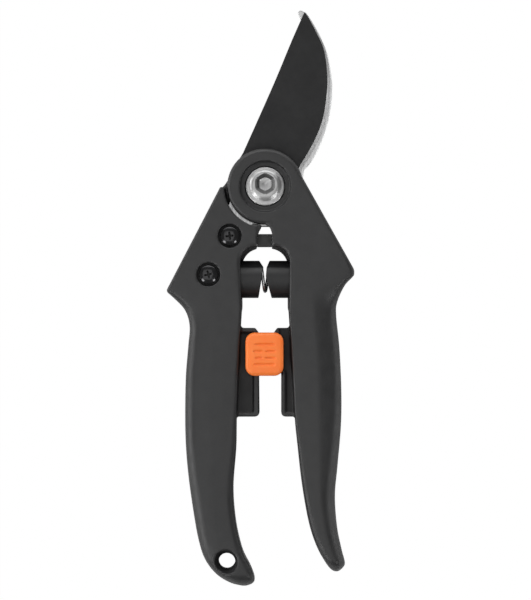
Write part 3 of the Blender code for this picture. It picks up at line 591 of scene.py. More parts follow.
def rubber(name):
    """Soft matt black rubber."""
    m = Nodes(name, (0.014, 0.014, 0.014), 0.65)
    m.colour(m.mix(m.cloud(300.0, 4.0), (0.026, 0.026, 0.026), (0.036, 0.036, 0.035)))
    m.roughness(m.spread(m.noise(700.0, 3.0), 0.58, 0.74))
    m.bump(m.noise(2200.0, 3.0), 0.5, 0.00002)
    return m.material


def orange_plastic(name):
    """Glossy orange acetal, with shade painted darker into its grooves and a highlight painted
    paler along its sharp edges.
    """
    m = Nodes(name, (0.97, 0.205, 0.03), 0.38, Subsurface_Weight=0.06,
              Subsurface_Radius=(0.0012, 0.0005, 0.0002))
    body = m.mix(m.cloud(220.0, 4.0), (1.0, 0.2, 0.026), (1.0, 0.23, 0.036))
    # painted shade: darker where the surface is hollow, as in the grooves
    hollow = m.spread(m.edges(0.42, 0.49), 1.0, 0.0, 0.0, 1.0)
    body = m.mix(m.part(hollow, 0.3), body, (0.7, 0.12, 0.02))
    # painted highlight: paler along the sharp edges
    m.colour(m.mix(m.part(m.edges(0.53, 0.6), 0.25), body, (1.0, 0.36, 0.15)))
    m.roughness(m.spread(m.noise(500.0, 3.0), 0.32, 0.44))
    m.bump(m.noise(2400.0, 3.0), 0.4, 0.000014)
    return m.material


def drawn_wire(name):
    """Bright steel wire with fine drawing lines."""
    m = Nodes(name, (0.42, 0.42, 0.43), 0.28, 1.0)
    line = m.noise(1.0, 3.0, m.mapped((2400.0, 2400.0, 300.0)))
    m.colour(m.mix(m.spread(line, 0.0, 1.0), (0.72, 0.72, 0.73), (0.4, 0.4, 0.4)))
    m.roughness(m.spread(m.noise(1800.0, 3.0), 0.22, 0.4))
    m.bump(line, 0.25, 0.000008)
    return m.material


handle_plastic = moulded_plastic("handle_plastic", (0.0105, 0.0105, 0.011),
                                 (0.0145, 0.0145, 0.015), 0.43, 0.6)
# painted shade: a darker, duller copy of the handle plastic for the dish round the bolt; the
# spring cups take it too
painted_dim_shade_plastic = moulded_plastic("painted_dim_shade_plastic", (0.0105, 0.0105, 0.011),
                               (0.014, 0.014, 0.0145), 0.46, 0.48)
# painted shade: a much darker copy of the handle plastic for the lock plates' recessed floors
painted_dark_shade_plastic = moulded_plastic("painted_dark_shade_plastic", (0.006, 0.006, 0.0062),
                                 (0.0085, 0.0085, 0.0088), 0.5, 0.4)
slider_plastic = moulded_plastic("slider_plastic", (0.0115, 0.0115, 0.012),
                                 (0.015, 0.015, 0.0155), 0.42, grain=3200.0, depth=0.00001)
coating = coated_steel("blade_coating")
bevel_steel = ground_steel("bevel_steel", 0.5, tone=0.34, rough=0.3)
hook_steel = ground_steel("hook_steel", -0.35, tone=0.5, rough=0.2)
bolt_steel = turned_metal("bolt_steel", (0.53, 0.53, 0.53), (0.36, 0.36, 0.36), 0.3)
# painted shade: a dark copy of the bolt's steel for the walls of its socket
painted_socket_shade_steel = turned_metal("painted_socket_shade_steel", (0.2, 0.2, 0.2), (0.12, 0.12, 0.12), 0.4)
nut_steel = turned_metal("nut_steel", (0.66, 0.66, 0.67), (0.44, 0.44, 0.45), 0.3)
bronze = turned_metal("bush_bronze", (0.55, 0.36, 0.17), (0.3, 0.18, 0.08), 0.34)
brass = turned_metal("insert_brass", (0.72, 0.55, 0.25), (0.45, 0.32, 0.12), 0.28, 1800.0)
spring_steel = drawn_wire("spring_steel")
screw_black = black_steel("screw_black")
# painted shade: a near-black plastic laid inside the screws' cross recesses
painted_cross_shade = moulded_plastic("painted_cross_shade", (0.006, 0.006, 0.006), (0.01, 0.01, 0.01), 0.6)
bumper_rubber = rubber("bumper_rubber")
button_orange = orange_plastic("button_orange")


# ---- handles ------------------------------------------------------------------------------
def section(left, right, bottom, top, left_round, right_round, left_crown, right_crown):
    """Points (x, z) of a rounded rectangle with crowned faces, anticlockwise."""
    width, height = right - left, top - bottom
    steps, flat = 10, 22      # points in each corner, and between corners
    corners = []
    for x_side, z_side in ((1, -1), (1, 1), (-1, 1), (-1, -1)):
        edge, rounding = (right, right_round) if x_side > 0 else (left, left_round)
        face = top if z_side > 0 else bottom
        deep = max(0.05, min(rounding, height / 2 - 0.1))
        wide = max(0.05, min(rounding * CORNER_STRETCH, width / 2 - 0.1))
        angles = [math.radians(90 * i / steps) for i in range(steps + 1)]
        corner = [(edge - x_side * wide * (1 - math.sin(a)),
                   face - z_side * deep * (1 - math.cos(a))) for a in angles]
        # sin(a) runs towards the edge, so every other corner is turned round
        corners.append(corner[::-1] if x_side == z_side else corner)
    loop = []
    for corner, after in zip(corners, corners[1:] + corners[:1]):
        loop += corner
        a, b = Vector(corner[-1]), Vector(after[0])
        loop += [tuple(a.lerp(b, i / (flat + 1))) for i in range(1, flat + 1)]
    middle, half = (left + right) / 2, max(0.1, width / 2)
    shaped = []
    for x, z in loop:
        crown = left_crown if x < middle else right_crown
        drop = crown * min(1.0, abs((x - middle) / half)) ** CROWN_POWER
        share = (z - (top + bottom) / 2) / (height / 2)
        shaped.append((x, z - drop * share))
    return shaped


def station_list(top, end):
    """Heights of a handle's sections, which crowd together over the last few millimetres."""
    crowded = 6.0
    count = int((top - end - crowded) / STATION_STEP)
    even = [top - i * STATION_STEP for i in range(count + 1)]
    tail = [end + crowded * (1 - i / 24) ** 1.6 for i in range(25)]
    return [y for y in even if y > tail[0] + 0.2] + tail


def handle(name, left, right, side, top, end):
    """A handle's solid between two edges; side is -1 for the left handle."""
    rounding, crown = ((LEFT_ROUNDING, LEFT_CROWN) if side < 0 else
                       (RIGHT_ROUNDING, RIGHT_CROWN))
    rings = []
    for y in station_list(top, end):
        thin = 1.0 - min(1.0, max(0.0, y - end) / END_ROUNDING)
        taper = GRIP_TOP * END_THINNING * (1.0 - math.sqrt(1.0 - thin ** 2))
        face = value_at(FRONT_FACE, y)
        rounds = [value_at(rounding, y), value_at(INNER_ROUNDING, y)]
        crowns = [value_at(crown, y), value_at(INNER_CROWN, y)]
        if side > 0:
            rounds.reverse()
            crowns.reverse()
        rings.append([(x, y, z) for x, z in
                      section(left(y), right(y), taper, face - taper, *rounds, *crowns)])
    return lofted(name, rings)


def edge_reader(line, grip):
    """The x of an outer edge at any y: a straight upper part, then a smooth curve."""
    tip = abs(grip[0][0])
    curve = [(max(-tip, min(tip, x)), y) for x, y in smooth(grip, 12)]
    return lambda y: value_at(line, y) if y >= grip[0][1] else value_at(curve, y)


def inner_reader(stop_x, grip):
    """The x of an inner edge at any y: straight down to the cups, then a smooth curve."""
    curve = [(stop_x, -30.0)] + smooth(grip, 12)
    return lambda y: value_at(curve, y)


def tang_slot(name, bottom, top, flip):
    """The slot that holds a tang, open towards the pivot."""
    points = [(-3.5, -9.0)] + tang_outline(GAP) + [(-9.0, -3.0)]
    return prism(name, mirrored(points) if flip else points, bottom, top)


def arch_outline(grow, corner):
    """The window's outline, grown by a margin that fades towards the lock plates."""
    left = (ARCH_LEFT + corner, ARCH_TOP - corner)
    right = (ARCH_RIGHT - corner, ARCH_TOP - corner)
    foot = grow * 0.3
    return (arc(right, corner + grow, 0, 90, 24) + arc(left, corner + grow, 90, 180, 24)
            + [(ARCH_LEFT - foot, PLATE_TOP_Y), (ARCH_RIGHT + foot, PLATE_TOP_Y)])


def arch_tool(name):
    """The window between the halves, wider in front, and the slope round its front edge."""
    slope = CHAMFER / ARCH_SLOPE
    over = 0.5                # how far the slope goes on past the front face
    levels = [(0.0, ARCH_BACK_CORNER, FAR_BELOW), (0.0, ARCH_BACK_CORNER, 0.0),
              (ARCH_DRAFT, ARCH_CORNER, HEAD_TOP - ARCH_SLOPE),
              (ARCH_DRAFT + CHAMFER, ARCH_CORNER, HEAD_TOP),
              (ARCH_DRAFT + CHAMFER + over * slope, ARCH_CORNER, HEAD_TOP + over)]
    return stacked(name, [(arch_outline(grow, corner), z) for grow, corner, z in levels])


def screw_tools(name, place, side, slot_face):
    """A screw's recess, shank hole and insert bore; side is +1 where its head is in front."""
    if side > 0:
        recess = (HEAD_TOP - SCREW_RECESS_DEPTH, FAR_ABOVE)
        bore = (slot_face - INSERT_LENGTH - 2 * GAP, slot_face + 1.0)
    else:
        recess = (FAR_BELOW, SCREW_RECESS_DEPTH)
        bore = (slot_face - 1.0, slot_face + INSERT_LENGTH + 2 * GAP)
    shank = sorted((recess[0] if side > 0 else recess[1], slot_face))
    return [cylinder(name + "_recess", place, SCREW_RECESS_RADIUS, *recess),
            cylinder(name + "_shank", place, SCREW_HOLE_RADIUS, shank[0] - 0.5, shank[1] + 0.5),
            cylinder(name + "_bore", place, INSERT_RADIUS + GAP, *bore)]


def cup_bore(name, side):
    return crossbar(name, circle((CUP_Y, CUP_Z), CUP_RADIUS + GAP, 96), side, 0.0,
                    CUP_DEPTH_X + GAP)


def bumper_outline(m):
    """The bumper, with the foot that holds it in the left handle, grown by a margin."""
    return [(RIGHT_STOP_X - GAP, -16.9), (LEFT_STOP_X + GAP - m, -16.9), (-2.6 - m, -18.4 + m),
            (-4.6, -18.4 + m), (-4.6, -17.4 + m), (-6.2 - m, -17.4 + m), (-6.2 - m, -21.0 - m),
            (-4.6, -21.0 - m), (-4.6, -20.0 - m), (-2.6 - m, -20.0 - m),
            (LEFT_STOP_X + GAP - m, -21.5), (RIGHT_STOP_X - GAP, -21.5)]


def cheek(name, bottom, top, front_slope):
    """The round cheek over the pivot, with a sloped rim on its outer side."""
    if front_slope:
        profile = [(0.0, bottom), (DISC_RADIUS, bottom), (DISC_RADIUS, top - CHAMFER * 0.6),
                   (DISC_RADIUS - CHAMFER, top), (0.0, top)]
    else:
        profile = [(0.0, bottom), (DISC_RADIUS - 0.5, bottom), (DISC_RADIUS, bottom + 0.5),
                   (DISC_RADIUS, top), (0.0, top)]
    return turned(name, profile, sides=128)


def build_left_handle():
    body = handle("shears_left_handle", edge_reader(LEFT_LINE, LEFT_OUTER),
                  inner_reader(LEFT_STOP_X, LEFT_INNER), -1, LEFT_LINE[0][1], LEFT_OUTER[-1][1])
    corner = arc((-3.7, PLATE_BOTTOM_Y + 1.7), 1.7, 0, -90, 8)
    lock_plate = prism("lock_plate", [(-13.0, PLATE_TOP_Y), (-13.0, PLATE_BOTTOM_Y)]
                       + list(reversed(corner))
                       + [(-2.3, PLATE_TOP_Y - 1.6), (-3.6, PLATE_TOP_Y)], PLATE_BACK, PLATE_RIM)
    web = prism("web", WEB, CHEEK_BACK, HOOK_BOTTOM - GAP)
    join(body, lock_plate, cheek("left_cheek", CHEEK_BACK, HOOK_BOTTOM - GAP, False), web)
    track = prism("track", [(-9.0, PLATE_TOP_Y - 1.5), (-10.2, PLATE_BOTTOM_Y + 1.4)]
                  + arc((-4.9, PLATE_BOTTOM_Y + 2.3), 0.9, -90, 0, 6)
                  + [(-4.0, PLATE_TOP_Y - 1.5)], PLATE_FACE, FAR_ABOVE)
    body = cut(body,
               cylinder("notch", (0, 0), NOTCH_RADIUS, HOOK_BOTTOM - GAP, FAR_ABOVE, 160),
               arch_tool("left_arch"),
               tang_slot("left_slot", HOOK_BOTTOM - GAP, HOOK_TOP + GAP, False),
               *screw_tools("upper_hook", UPPER_SCREW, 1, HOOK_BOTTOM - GAP),
               *screw_tools("lower_hook", LOWER_SCREW, 1, HOOK_BOTTOM - GAP),
               cup_bore("left_bore", -1),
               prism("bumper_pocket", bumper_outline(GAP), FAR_BELOW, BUMPER_POCKET_TOP),
               track,
               box("detent_groove", *DETENT_GROOVE),
               cylinder("hang_hole", HOLE_CENTRE, HOLE_RADIUS, FAR_BELOW, FAR_ABOVE),
               cone("hang_rim", (HOLE_CENTRE[0] - 0.45, HOLE_CENTRE[1] - 0.3),
                    (HOLE_RADIUS - 0.4, GRIP_TOP - 3.4), (HOLE_RADIUS + 2.4, GRIP_TOP + 1.4)),
               cone("hang_rim_back", HOLE_CENTRE, (HOLE_RADIUS + 1.4, -0.4),
                    (HOLE_RADIUS - 0.3, 1.3)),
               cylinder("bolt_hole", (0, 0), BOLT_RADIUS + GAP, FAR_BELOW, HOOK_TOP),
               cylinder("nut_pocket", (0, 0), COUNTERBORE_RADIUS, FAR_BELOW, NUT_POCKET_TOP))
    return join(body, prism("left_tip", LEFT_TIP, BUMPER_POCKET_TOP + 0.2, HEAD_TOP - 0.4))


def build_right_handle():
    body = handle("shears_right_handle", inner_reader(RIGHT_STOP_X, RIGHT_INNER),
                  edge_reader(RIGHT_LINE, RIGHT_OUTER), 1, RIGHT_LINE[0][1], RIGHT_OUTER[-1][1])
    corner = arc((7.2, PLATE_BOTTOM_Y + 1.5), 1.5, 180, 270, 8)
    catch_plate = prism("catch_plate", [(14.0, PLATE_TOP_Y), (4.3, PLATE_TOP_Y),
                                        (3.1, PLATE_TOP_Y - 1.6), (3.1, -64.0), (5.7, -66.5)]
                        + corner + [(14.0, PLATE_BOTTOM_Y)], PLATE_BACK, PLATE_FACE)
    join(body, catch_plate, cheek("right_cheek", BLADE_TOP + GAP, HEAD_TOP, True),
         prism("right_tip", RIGHT_TIP, BUMPER_POCKET_TOP + 0.4, HEAD_TOP - 0.3))
    recess = prism("catch_recess", RIGHT_RECESS_RIM[:3]
                   + [(7.1, PLATE_BOTTOM_Y + 1.3), (10.4, PLATE_BOTTOM_Y + 1.3),
                      (8.9, PLATE_TOP_Y)], PLATE_FACE - CATCH_RECESS, FAR_ABOVE)
    return cut(body,
               cylinder("notch", (0, 0), NOTCH_RADIUS, FAR_BELOW, BLADE_TOP + GAP, 160),
               box("hook_clearance", *HOOK_CLEARANCE),
               arch_tool("right_arch"),
               tang_slot("right_slot", BLADE_BOTTOM - GAP, BLADE_TOP + GAP, True),
               *screw_tools("upper_blade", mirrored([UPPER_SCREW])[0], -1, BLADE_TOP + GAP),
               *screw_tools("lower_blade", mirrored([LOWER_SCREW])[0], -1, BLADE_TOP + GAP),
               cup_bore("right_bore", 1),
               recess,
               box("claw_pocket", *CLAW_POCKET),
               cylinder("bolt_hole", (0, 0), BOLT_RADIUS + GAP, BLADE_BOTTOM, FAR_ABOVE),
               cylinder("head_pocket", (0, 0), BOLT_HEAD_RADIUS + 0.15,
                        HEAD_TOP - COUNTERBORE_DEPTH, FAR_ABOVE, 128),
               cylinder("head_dish", (0, 0), COUNTERBORE_RADIUS, HEAD_TOP - DISH_DEPTH,
                        FAR_ABOVE, 128))


def add_materials(obj, *materials):
    for material in materials:
        obj.data.materials.append(material)


def finish_handle(obj, side, floor_z, body, node):
    """Moulds a handle and paints shade into its counterbore and its plate's recess with darker
    copies of its plastic.
    """
    obj = moulded(obj, HANDLE_VOXEL, 3)
    obj.data.materials.clear()
    add_materials(obj, handle_plastic, painted_dark_shade_plastic, painted_dim_shade_plastic)
    edge = smooth(LEFT_INNER if side < 0 else RIGHT_INNER, 12)
    rim = LEFT_RECESS_RIM if side < 0 else RIGHT_RECESS_RIM
    for face in obj.data.polygons:
        x, y, z = face.center
        # painted shade: the dish round the bolt takes the darker copy of the plastic
        if math.hypot(x, y) < COUNTERBORE_RADIUS + 0.3 and 10.0 < z < HEAD_TOP - 0.3:
            face.material_index = 2
        # painted shade: the plate's recessed floor, between its rim and the handle's inner edge,
        # takes the darkest copy
        if not (PLATE_BOTTOM_Y + 1.0 < y < PLATE_TOP_Y and floor_z - 1.0 < z < floor_z + 0.35):
            continue
        if abs(value_at(rim, y)) < side * x < abs(value_at(edge, y)) + 0.9:
            face.material_index = 1
    settle(obj, None, body, node)


finish_handle(build_left_handle(), -1, PLATE_FACE, "fixed_half", "left_handle")
finish_handle(build_right_handle(), 1, PLATE_FACE - CATCH_RECESS, "moving_half", "right_handle")


# ---- blade and hook -----------------------------------------------------------------------
def clean(points):
    """Drops points that fall on the one before."""
    least = 0.02
    kept = []
    for p in points:
        if not kept or (Vector(p) - Vector(kept[-1])).length > least:
            kept.append(p)
    if (Vector(kept[0]) - Vector(kept[-1])).length <= least:
        kept.pop()
    return kept


def anticlockwise(points):
    area = sum(a[0] * b[1] - b[0] * a[1] for a, b in zip(points, points[1:] + points[:1]))
    return points if area > 0 else list(reversed(points))


def tang_tools(name, flip, bottom, top):
    places = [UPPER_SCREW, LOWER_SCREW]
    places = mirrored(places) if flip else places
    return [cylinder(f"{name}_{i}", place, SCREW_HOLE_RADIUS, bottom - 1, top + 1)
            for i, place in enumerate(places)] + [
        cylinder(name + "_pivot", (0, 0), BLADE_HOLE_RADIUS, bottom - 1, top + 1)]


def build_hook():
    """The bare counter-blade: its hook, its cheek round the pivot and its tang."""
    x, y, radius = HOOK_TIP
    points = (smooth(HOOK_OUTER, 10) + arc((x, y), radius, 40, 200, 20) + smooth(HOOK_INNER, 10)
              + arc((0, 0), HOOK_ROUND, 78, 198, 40) + list(reversed(tang_outline(0.0)))
              + [(-2.6, -14.3), (2.2, -14.3), (4.6, -12.6)] + arc((0, 0), HOOK_ROUND, -60, 0, 20))
    points = anticlockwise(clean(points))
    rim = inset(points, HOOK_RIM)
    hook = stacked("shears_hook", [(rim, HOOK_BOTTOM), (points, HOOK_BOTTOM + HOOK_RIM),
                                   (points, HOOK_TOP - HOOK_RIM), (rim, HOOK_TOP)])
    return cut(hook, *tang_tools("hook", False, HOOK_BOTTOM, HOOK_TOP))


def build_blade():
    """The coated blade: its edge is ground to a bevel, which is bare."""
    edge = smooth(BLADE_EDGE, 10)
    body = (arc((0, 0), BLADE_ROUND, 0, -16, 8) + list(reversed(mirrored(tang_outline(0.0))))
            + arc((0, 0), BLADE_ROUND, -85, -214, 40) + smooth(BLADE_SPINE, 6))
    count = len(clean(edge))
    points = clean(edge + body)
    tip_y, run = BEVEL_TAPER
    widths = [BEVEL_WIDTH * min(1.0, 0.2 + 0.8 * (tip_y - y) / run) if i < count else BLADE_RIM
              for i, (x, y) in enumerate(points)]
    if anticlockwise(points) != points:
        points, widths = points[::-1], widths[::-1]
    drops = [BEVEL_DEPTH if w > BLADE_RIM else BLADE_RIM for w in widths]
    rings = [[(x, y, BLADE_BOTTOM) for x, y in inset(points, 0.06)],
             [(x, y, BLADE_BOTTOM + 0.08) for x, y in points],
             [(x, y, BLADE_TOP - d) for (x, y), d in zip(points, drops)],
             [(x, y, BLADE_TOP) for x, y in inset(points, widths)]]
    blade = lofted("shears_blade", rings)
    size = len(points)
    for face in blade.data.polygons:
        ring = [v // size for v in face.vertices]
        ground = all(drops[v % size] == BEVEL_DEPTH for v in face.vertices)
        face.material_index = 1 if ground and min(ring) == 2 and max(ring) == 3 else 0
    add_materials(blade, coating, bevel_steel)
    return cut(blade, *tang_tools("blade", True, BLADE_BOTTOM, BLADE_TOP))


settle(build_hook(), hook_steel, "fixed_half", "hook_blade", 25)
settle(build_blade(), None, "moving_half", "cutting_blade", 20)


# ---- pivot --------------------------------------------------------------------------------
def hexagon(apothem, angle):
    """Radius of a hexagon with softened corners, at an angle."""
    total = sum(abs(math.cos(angle - k * math.pi / 3)) ** HEXAGON_POWER for k in range(3))
    return apothem / total ** (1.0 / HEXAGON_POWER)


def build_bolt():
    """Domed head with a six-sided socket, shank and chamfered end, all in one."""
    seat = HEAD_TOP - COUNTERBORE_DEPTH
    angles = [2 * math.pi * i / 144 for i in range(144)]
    rings = []

    def ring(radius, z, rise=0.0, six_sided=0.0, apothem=0.0):
        """A ring with its middle moved up the view, partly or wholly six-sided."""
        made = []
        for a in angles:
            r = radius * (1 - six_sided) + six_sided * hexagon(apothem, a)
            made.append((r * math.cos(a), r * math.sin(a) + rise, z))
        rings.append(made)

    top = seat + 1.75
    for r, z in [(0.15, 0.1), (BOLT_RADIUS - 0.5, 0.1), (BOLT_RADIUS, 0.6),
                 (BOLT_RADIUS, seat + 1.1), (BOLT_HEAD_RADIUS - 0.25, seat + 1.1),
                 (BOLT_HEAD_RADIUS, seat + 1.35), (BOLT_HEAD_RADIUS, top)]:
        ring(r, z)
    # a low flange, then a dome whose crown and socket sit off centre
    for r, step, rise in [(6.8, 0.15, 0.0), (6.65, 0.1, 0.0), (6.4, 0.06, 0.0),
                          (6.1, 0.04, 0.15), (5.85, 0.04, 0.3), (5.7, 0.04, 0.4),
                          (5.55, 0.07, 0.46), (5.35, 0.14, 0.53), (5.1, 0.15, 0.6),
                          (4.85, 0.14, 0.67), (4.6, 0.11, 0.74), (4.4, 0.06, 0.8),
                          (4.2, 0.03, 0.86), (4.05, 0.02, 0.9)]:
        top += step
        ring(r, top, rise)
    ring(3.95, top + 0.01, SOCKET_RISE - 0.01, 0.6, 3.7)
    for r, depth, six_sided, apothem in [(3.8, 0.0, 1.0, 3.55), (3.7, 0.12, 1.0, 3.4),
                                         (3.0, 1.2, 1.0, 2.45), (2.6, 1.5, 0.9, 2.15),
                                         (1.9, 1.56, 0.5, 1.9), (1.4, 1.62, 0.0, 0.0),
                                         (0.7, 1.78, 0.0, 0.0), (0.1, 1.95, 0.0, 0.0)]:
        ring(r, top - depth, SOCKET_RISE, six_sided, apothem)
    bolt = lofted("shears_pivot_bolt", rings)
    # painted shade: the socket's steep walls take the dark copy of the steel
    for face in bolt.data.polygons:
        x, y, z = face.center
        inside = math.hypot(x, y - SOCKET_RISE) < SOCKET_REACH and seat < z < top - 0.05
        face.material_index = 1 if inside and abs(face.normal.z) < 0.8 else 0
    add_materials(bolt, bolt_steel, painted_socket_shade_steel)
    return bolt


def build_nut():
    """A six-sided nut with turned corners and a countersunk hole."""
    nut = prism("shears_pivot_nut", circle((0, 0), NUT_RADIUS, 6), 0.0, NUT_HEIGHT)
    outer = turned("nut_form", [(0.0, -0.02), (6.35, -0.02), (7.4, 0.5), (7.4, 1.92), (0.0, 1.92)])
    combine(nut, "INTERSECT", [outer])
    hole = turned("nut_hole", [(0.0, -1.0), (BOLT_RADIUS + GAP + 1.4, -1.0),
                               (BOLT_RADIUS + GAP, 0.35), (BOLT_RADIUS + GAP, 3.0), (0.0, 3.0)])
    return cut(nut, hole)


settle(build_bolt(), None, "fixed_half", "pivot_bolt", 40)
settle(chamfered(build_nut(), 0.08, 35), nut_steel, "fixed_half", "pivot_nut", 30)


# ---- screws -------------------------------------------------------------------------------
def build_screw(name, place, side, insert_far, turn):
    """A pan-head screw with a tapered cross recess; side is +1 where its head is in front."""
    outside = HEAD_TOP - 0.2 if side > 0 else 0.2
    under = outside - side * (SCREW_RECESS_DEPTH - 0.2 - GAP)
    dome = [(SCREW_SLOPES[0][0], outside)]
    for (r0, tilt0), (r1, tilt1) in zip(SCREW_SLOPES, SCREW_SLOPES[1:]):
        for i in range(5):
            tilt = math.radians(tilt0 + (tilt1 - tilt0) * (i + 0.5) / 5)
            step = (r1 - r0) / 5
            r, z = dome[-1]
            dome.append((r + step, z - side * step * math.tan(tilt)))
    profile = ([(0.0, outside)] + dome
               + rounded_profile([dome[-1], (SCREW_HEAD_RADIUS, under), (SCREW_RADIUS, under),
                                  (SCREW_RADIUS, insert_far), (0.0, insert_far)], 0.12, 3)[1:])
    screw = turned(name, profile, place, 64)
    tools = []
    for i in range(2):
        rings = []
        angle = math.radians(turn + 90 * i)
        for reach, half, depth in zip(CROSS_REACH, CROSS_HALF, CROSS_DEPTH):
            corners = [(-reach, -half), (reach, -half), (reach, half), (-reach, half)]
            rings.append([(place[0] + x * math.cos(angle) - y * math.sin(angle),
                           place[1] + x * math.sin(angle) + y * math.cos(angle),
                           outside - side * depth) for x, y in corners])
        tools.append(lofted(f"{name}_arm_{i}", rings))
    chamfered(cut(screw, *tools), 0.05, 40)
    # painted shade: faces down inside the cross recess take the near-black material
    for face in screw.data.polygons:
        x, y, z = face.center
        near = math.hypot(x - place[0], y - place[1]) < CROSS_REACH[0]
        face.material_index = 1 if near and 0.25 < side * (outside - z) < 1.3 else 0
    add_materials(screw, screw_black, painted_cross_shade)
    return screw


for flip, names, side, face, body in (
        (False, ("upper_hook_screw", "lower_hook_screw"), 1, HOOK_BOTTOM - GAP, "fixed_half"),
        (True, ("upper_blade_screw", "lower_blade_screw"), -1, BLADE_TOP + GAP, "moving_half")):
    places = mirrored([UPPER_SCREW, LOWER_SCREW]) if flip else [UPPER_SCREW, LOWER_SCREW]
    for screw_name, screw_place, angle in zip(names, places, (8, 14)):
        far = face - side * GAP - side * INSERT_LENGTH + side * 0.2
        settle(build_screw("shears_" + screw_name, screw_place, side, far, angle), None,
               body, screw_name, 35)


# ---- cups, spring and bumper --------------------------------------------------------------
def build_cup(name, side, mouth):
    """A spring cup: round inside, with a steep facet on top and a slanted mouth."""
    past = 3.0                # how far it reaches past the middle before the mouth is cut
    outer = arc((CUP_Y, CUP_Z), CUP_RADIUS, CUP_FACET[1], CUP_FACET[0] + 360, 140)
    solid = crossbar(name, outer, side, -past, CUP_DEPTH_X)
    hollow = crossbar(name + "_hollow", circle((CUP_Y, CUP_Z), CUP_BORE, 144), side,
                      -past - 1.0, CUP_DEPTH_X - CUP_FLOOR)
    return cut(solid, hollow, prism(name + "_mouth", mouth, FAR_BELOW, FAR_ABOVE))


# The cups take the same darker copy of the handle plastic that paints shade into the dish.
settle(moulded(build_cup("shears_left_cup", -1, LEFT_MOUTH), FINE_VOXEL, 2), painted_dim_shade_plastic,
       "fixed_half", "left_spring_cup")
settle(moulded(build_cup("shears_right_cup", 1, RIGHT_MOUTH), FINE_VOXEL, 2), painted_dim_shade_plastic,
       "moving_half", "right_spring_cup")


def tube_along(name, path, radius):
    """A round wire with domed ends along a coil's path, its rings kept from twisting."""
    points = [Vector(p) for p in path]
    dome = [(0.45, 0.54), (0.8, 0.36)]  # (size, distance outwards) of an end's rings
    angles = [2 * math.pi * k / 14 for k in range(14)]
    axis = Vector((1.0, 0.0, 0.0))
    last = len(points) - 1
    rings = []
    for i, point in enumerate(points):
        ahead = (points[min(i + 1, last)] - points[max(i - 1, 0)]).normalized()
        across = ahead.cross(axis).normalized()
        other = across.cross(ahead).normalized()
        shapes = [(1.0, 0.0)]
        if i == 0:
            shapes = [(size, -out) for size, out in dome] + shapes
        elif i == last:
            shapes += dome[::-1]
        for size, out in shapes:
            middle = point + ahead * (out * radius)
            rings.append([tuple(middle + (across * math.cos(a) + other * math.sin(a))
                                * (radius * size)) for a in angles])
    return lofted(name, rings)


def build_spring():
    """The coil: close turns at both ends, open ones between."""
    reach = CUP_DEPTH_X - CUP_FLOOR - GAP - SPRING_WIRE
    per_turn = 36
    count = SPRING_TURNS * per_turn
    path = []
    for i in range(count + 1):
        t = i / count
        x = -reach + 2 * reach * (t - 0.035 * math.sin(2 * math.pi * t))
        angle = 2 * math.pi * i / per_turn
        path.append((x, CUP_Y + SPRING_RADIUS * math.cos(angle),
                     CUP_Z + SPRING_RADIUS * math.sin(angle)))
    return tube_along("shears_return_spring", path, SPRING_WIRE)


spring = settle(build_spring(), spring_steel, None, "return_spring")
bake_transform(spring)

bumper_points = [(x + BUMPER_SPREAD if x > 0 else
                  max(x - BUMPER_SPREAD, LEFT_STOP_X) if x > LEFT_STOP_X else x, y)
                 for x, y in bumper_outline(0.0)]
bumper = prism("shears_bumper", bumper_points, BUMPER_BOTTOM, BUMPER_TOP)
settle(moulded(bumper, FINE_VOXEL, 3), bumper_rubber, "fixed_half", "bumper")


# ---- lock ---------------------------------------------------------------------------------
def build_button():
    """A cushion-shaped thumb pad with four rows of soft grooves, its claw and its tongue."""
    base = anticlockwise(clean(rounded_outline(BUTTON_MIDDLE, BUTTON_SIZE, BUTTON_CORNER, 12)))
    levels = [(0.3, BUTTON_BOTTOM), (0.0, BUTTON_BOTTOM + 0.3)]
    for i in range(11):
        a = math.radians(90 * i / 10)
        levels.append((BUTTON_ROUNDING * (1 - math.cos(a)),
                       BUTTON_TOP - BUTTON_ROUNDING + (BUTTON_ROUNDING - 0.12) * math.sin(a)))
    levels.append((2.7, BUTTON_TOP))
    pad = stacked("shears_lock_button", [(inset(base, back), z) for back, z in levels])
    join(pad, box("claw", *CLAW), box("tongue", *TONGUE))
    middle_x, middle_y = BUTTON_MIDDLE
    grooves = []
    for i, (up, start, end) in enumerate(GROOVES):
        rings = []
        for step in range(9):
            share = 1 - abs(step / 4 - 1)
            size = GROOVE_SIZE * min(1.0, 0.45 + share * 2.2)
            rings.append([(middle_x + start + (end - start) * step / 8, middle_y + up + y,
                           BUTTON_TOP + 0.15 + z * 1.2) for y, z in circle((0, 0), size, 16)])
        grooves.append(lofted(f"groove_{i}", rings))
    return cut(pad, *grooves, cylinder("screw_hole", LOCK_SCREW, 1.3, 10.0, 16.4))


settle(moulded(build_button(), FINE_VOXEL * 0.9, 3), button_orange, "lock", "lock_button")

for node, made in (("pivot_spring_washer", nut_steel), ("pivot_washer", nut_steel),
                   ("pivot_bush", bronze), ("upper_hook_insert", brass),
                   ("lower_hook_insert", brass), ("upper_blade_insert", brass),
                   ("lower_blade_insert", brass), ("lock_slider", slider_plastic),
                   ("lock_screw", spring_steel), ("lock_detent_spring", spring_steel)):
    frame["nodes"][node].data.materials.clear()
    frame["nodes"][node].data.materials.append(made)


# ---- camera, light and floor --------------------------------------------------------------
SHOWN_HEIGHT = 0.2139         # height of the picture's frame at the aim's level, in metres
DISTANCE = 1.8
AIM = Vector((0.001757, -0.000706, 0.009))
camera_data = bpy.data.cameras.new("camera")
camera_data.sensor_width = 36.0
camera_data.lens = camera_data.sensor_width * DISTANCE / SHOWN_HEIGHT
camera_data.clip_start, camera_data.clip_end = 0.05, 20.0
camera = linked("camera", camera_data)
camera.location = AIM + Vector((0.0, 0.0, DISTANCE))
bpy.context.scene.camera = camera


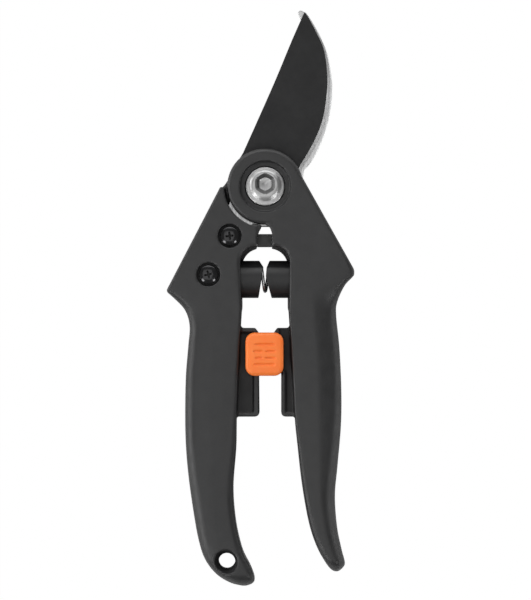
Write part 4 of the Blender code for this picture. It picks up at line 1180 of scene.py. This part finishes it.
def softbox(name, azimuth, elevation, distance, size, radiance):
    """A rectangular lamp aimed at the shears; azimuth 0 is towards +X and 90 towards +Y."""
    data = bpy.data.lights.new(name, "AREA")
    data.shape = "RECTANGLE"
    data.size, data.size_y = size
    data.energy = math.pi * size[0] * size[1] * radiance
    lamp = linked(name, data)
    a, e = math.radians(azimuth), math.radians(elevation)
    place = Vector((math.cos(a) * math.cos(e), math.sin(a) * math.cos(e), math.sin(e))) * distance
    lamp.location = place
    lamp.rotation_mode = "QUATERNION"
    lamp.rotation_quaternion = (-place).to_track_quat("-Z", "Y")
    lamp.visible_camera = False


softbox("light_overhead", 180, 84, 2.5, (2.2, 2.0), 0.9)
softbox("light_left", 180, 18, 1.5, (1.8, 0.7), 2.9)
softbox("light_top", 90, 29, 1.5, (2.6, 0.9), 2.2)
softbox("light_right", 8, 5, 1.5, (3.0, 0.25), 2.3)
softbox("light_horizon", 270, 8, 1.5, (2.0, 0.3), 0.8)
softbox("light_low_left", 225, 46, 1.2, (0.27, 0.27), 9.0)
softbox("light_low_right", 315, 46, 1.2, (0.22, 0.22), 11.0)

world = bpy.data.worlds.new("studio")
world.use_nodes = True
background = world.node_tree.nodes["Background"]
background.inputs["Color"].default_value = (1.0, 1.0, 1.0, 1.0)
background.inputs["Strength"].default_value = 0.19
bpy.context.scene.world = world

# The camera sees an evenly bright light table; the shears are lit by a matt one in its place,
# which takes their shadow. Both are in metres.
for name, glow, seen in (("light_table", 1.0, True), ("matt_table", 0.0, False)):
    table = cylinder(name, (0, 0), 4.0, -0.02, 0.0, 60)
    table.location.z = -0.0001
    table.visible_camera = seen
    table.visible_diffuse = table.visible_glossy = table.visible_shadow = not seen
    paint = Nodes(name, (0.86, 0.86, 0.86), 0.7, Emission_Strength=glow,
                  Emission_Color=(1.0, 1.0, 1.0, 1.0))
    paint.colour(paint.mix(paint.cloud(6.0, 4.0), (0.85, 0.85, 0.85), (0.875, 0.875, 0.875)))
    table.data.materials.append(paint.material)

bpy.context.scene.view_settings.view_transform = "Standard"
bpy.context.scene.view_settings.look = "None"
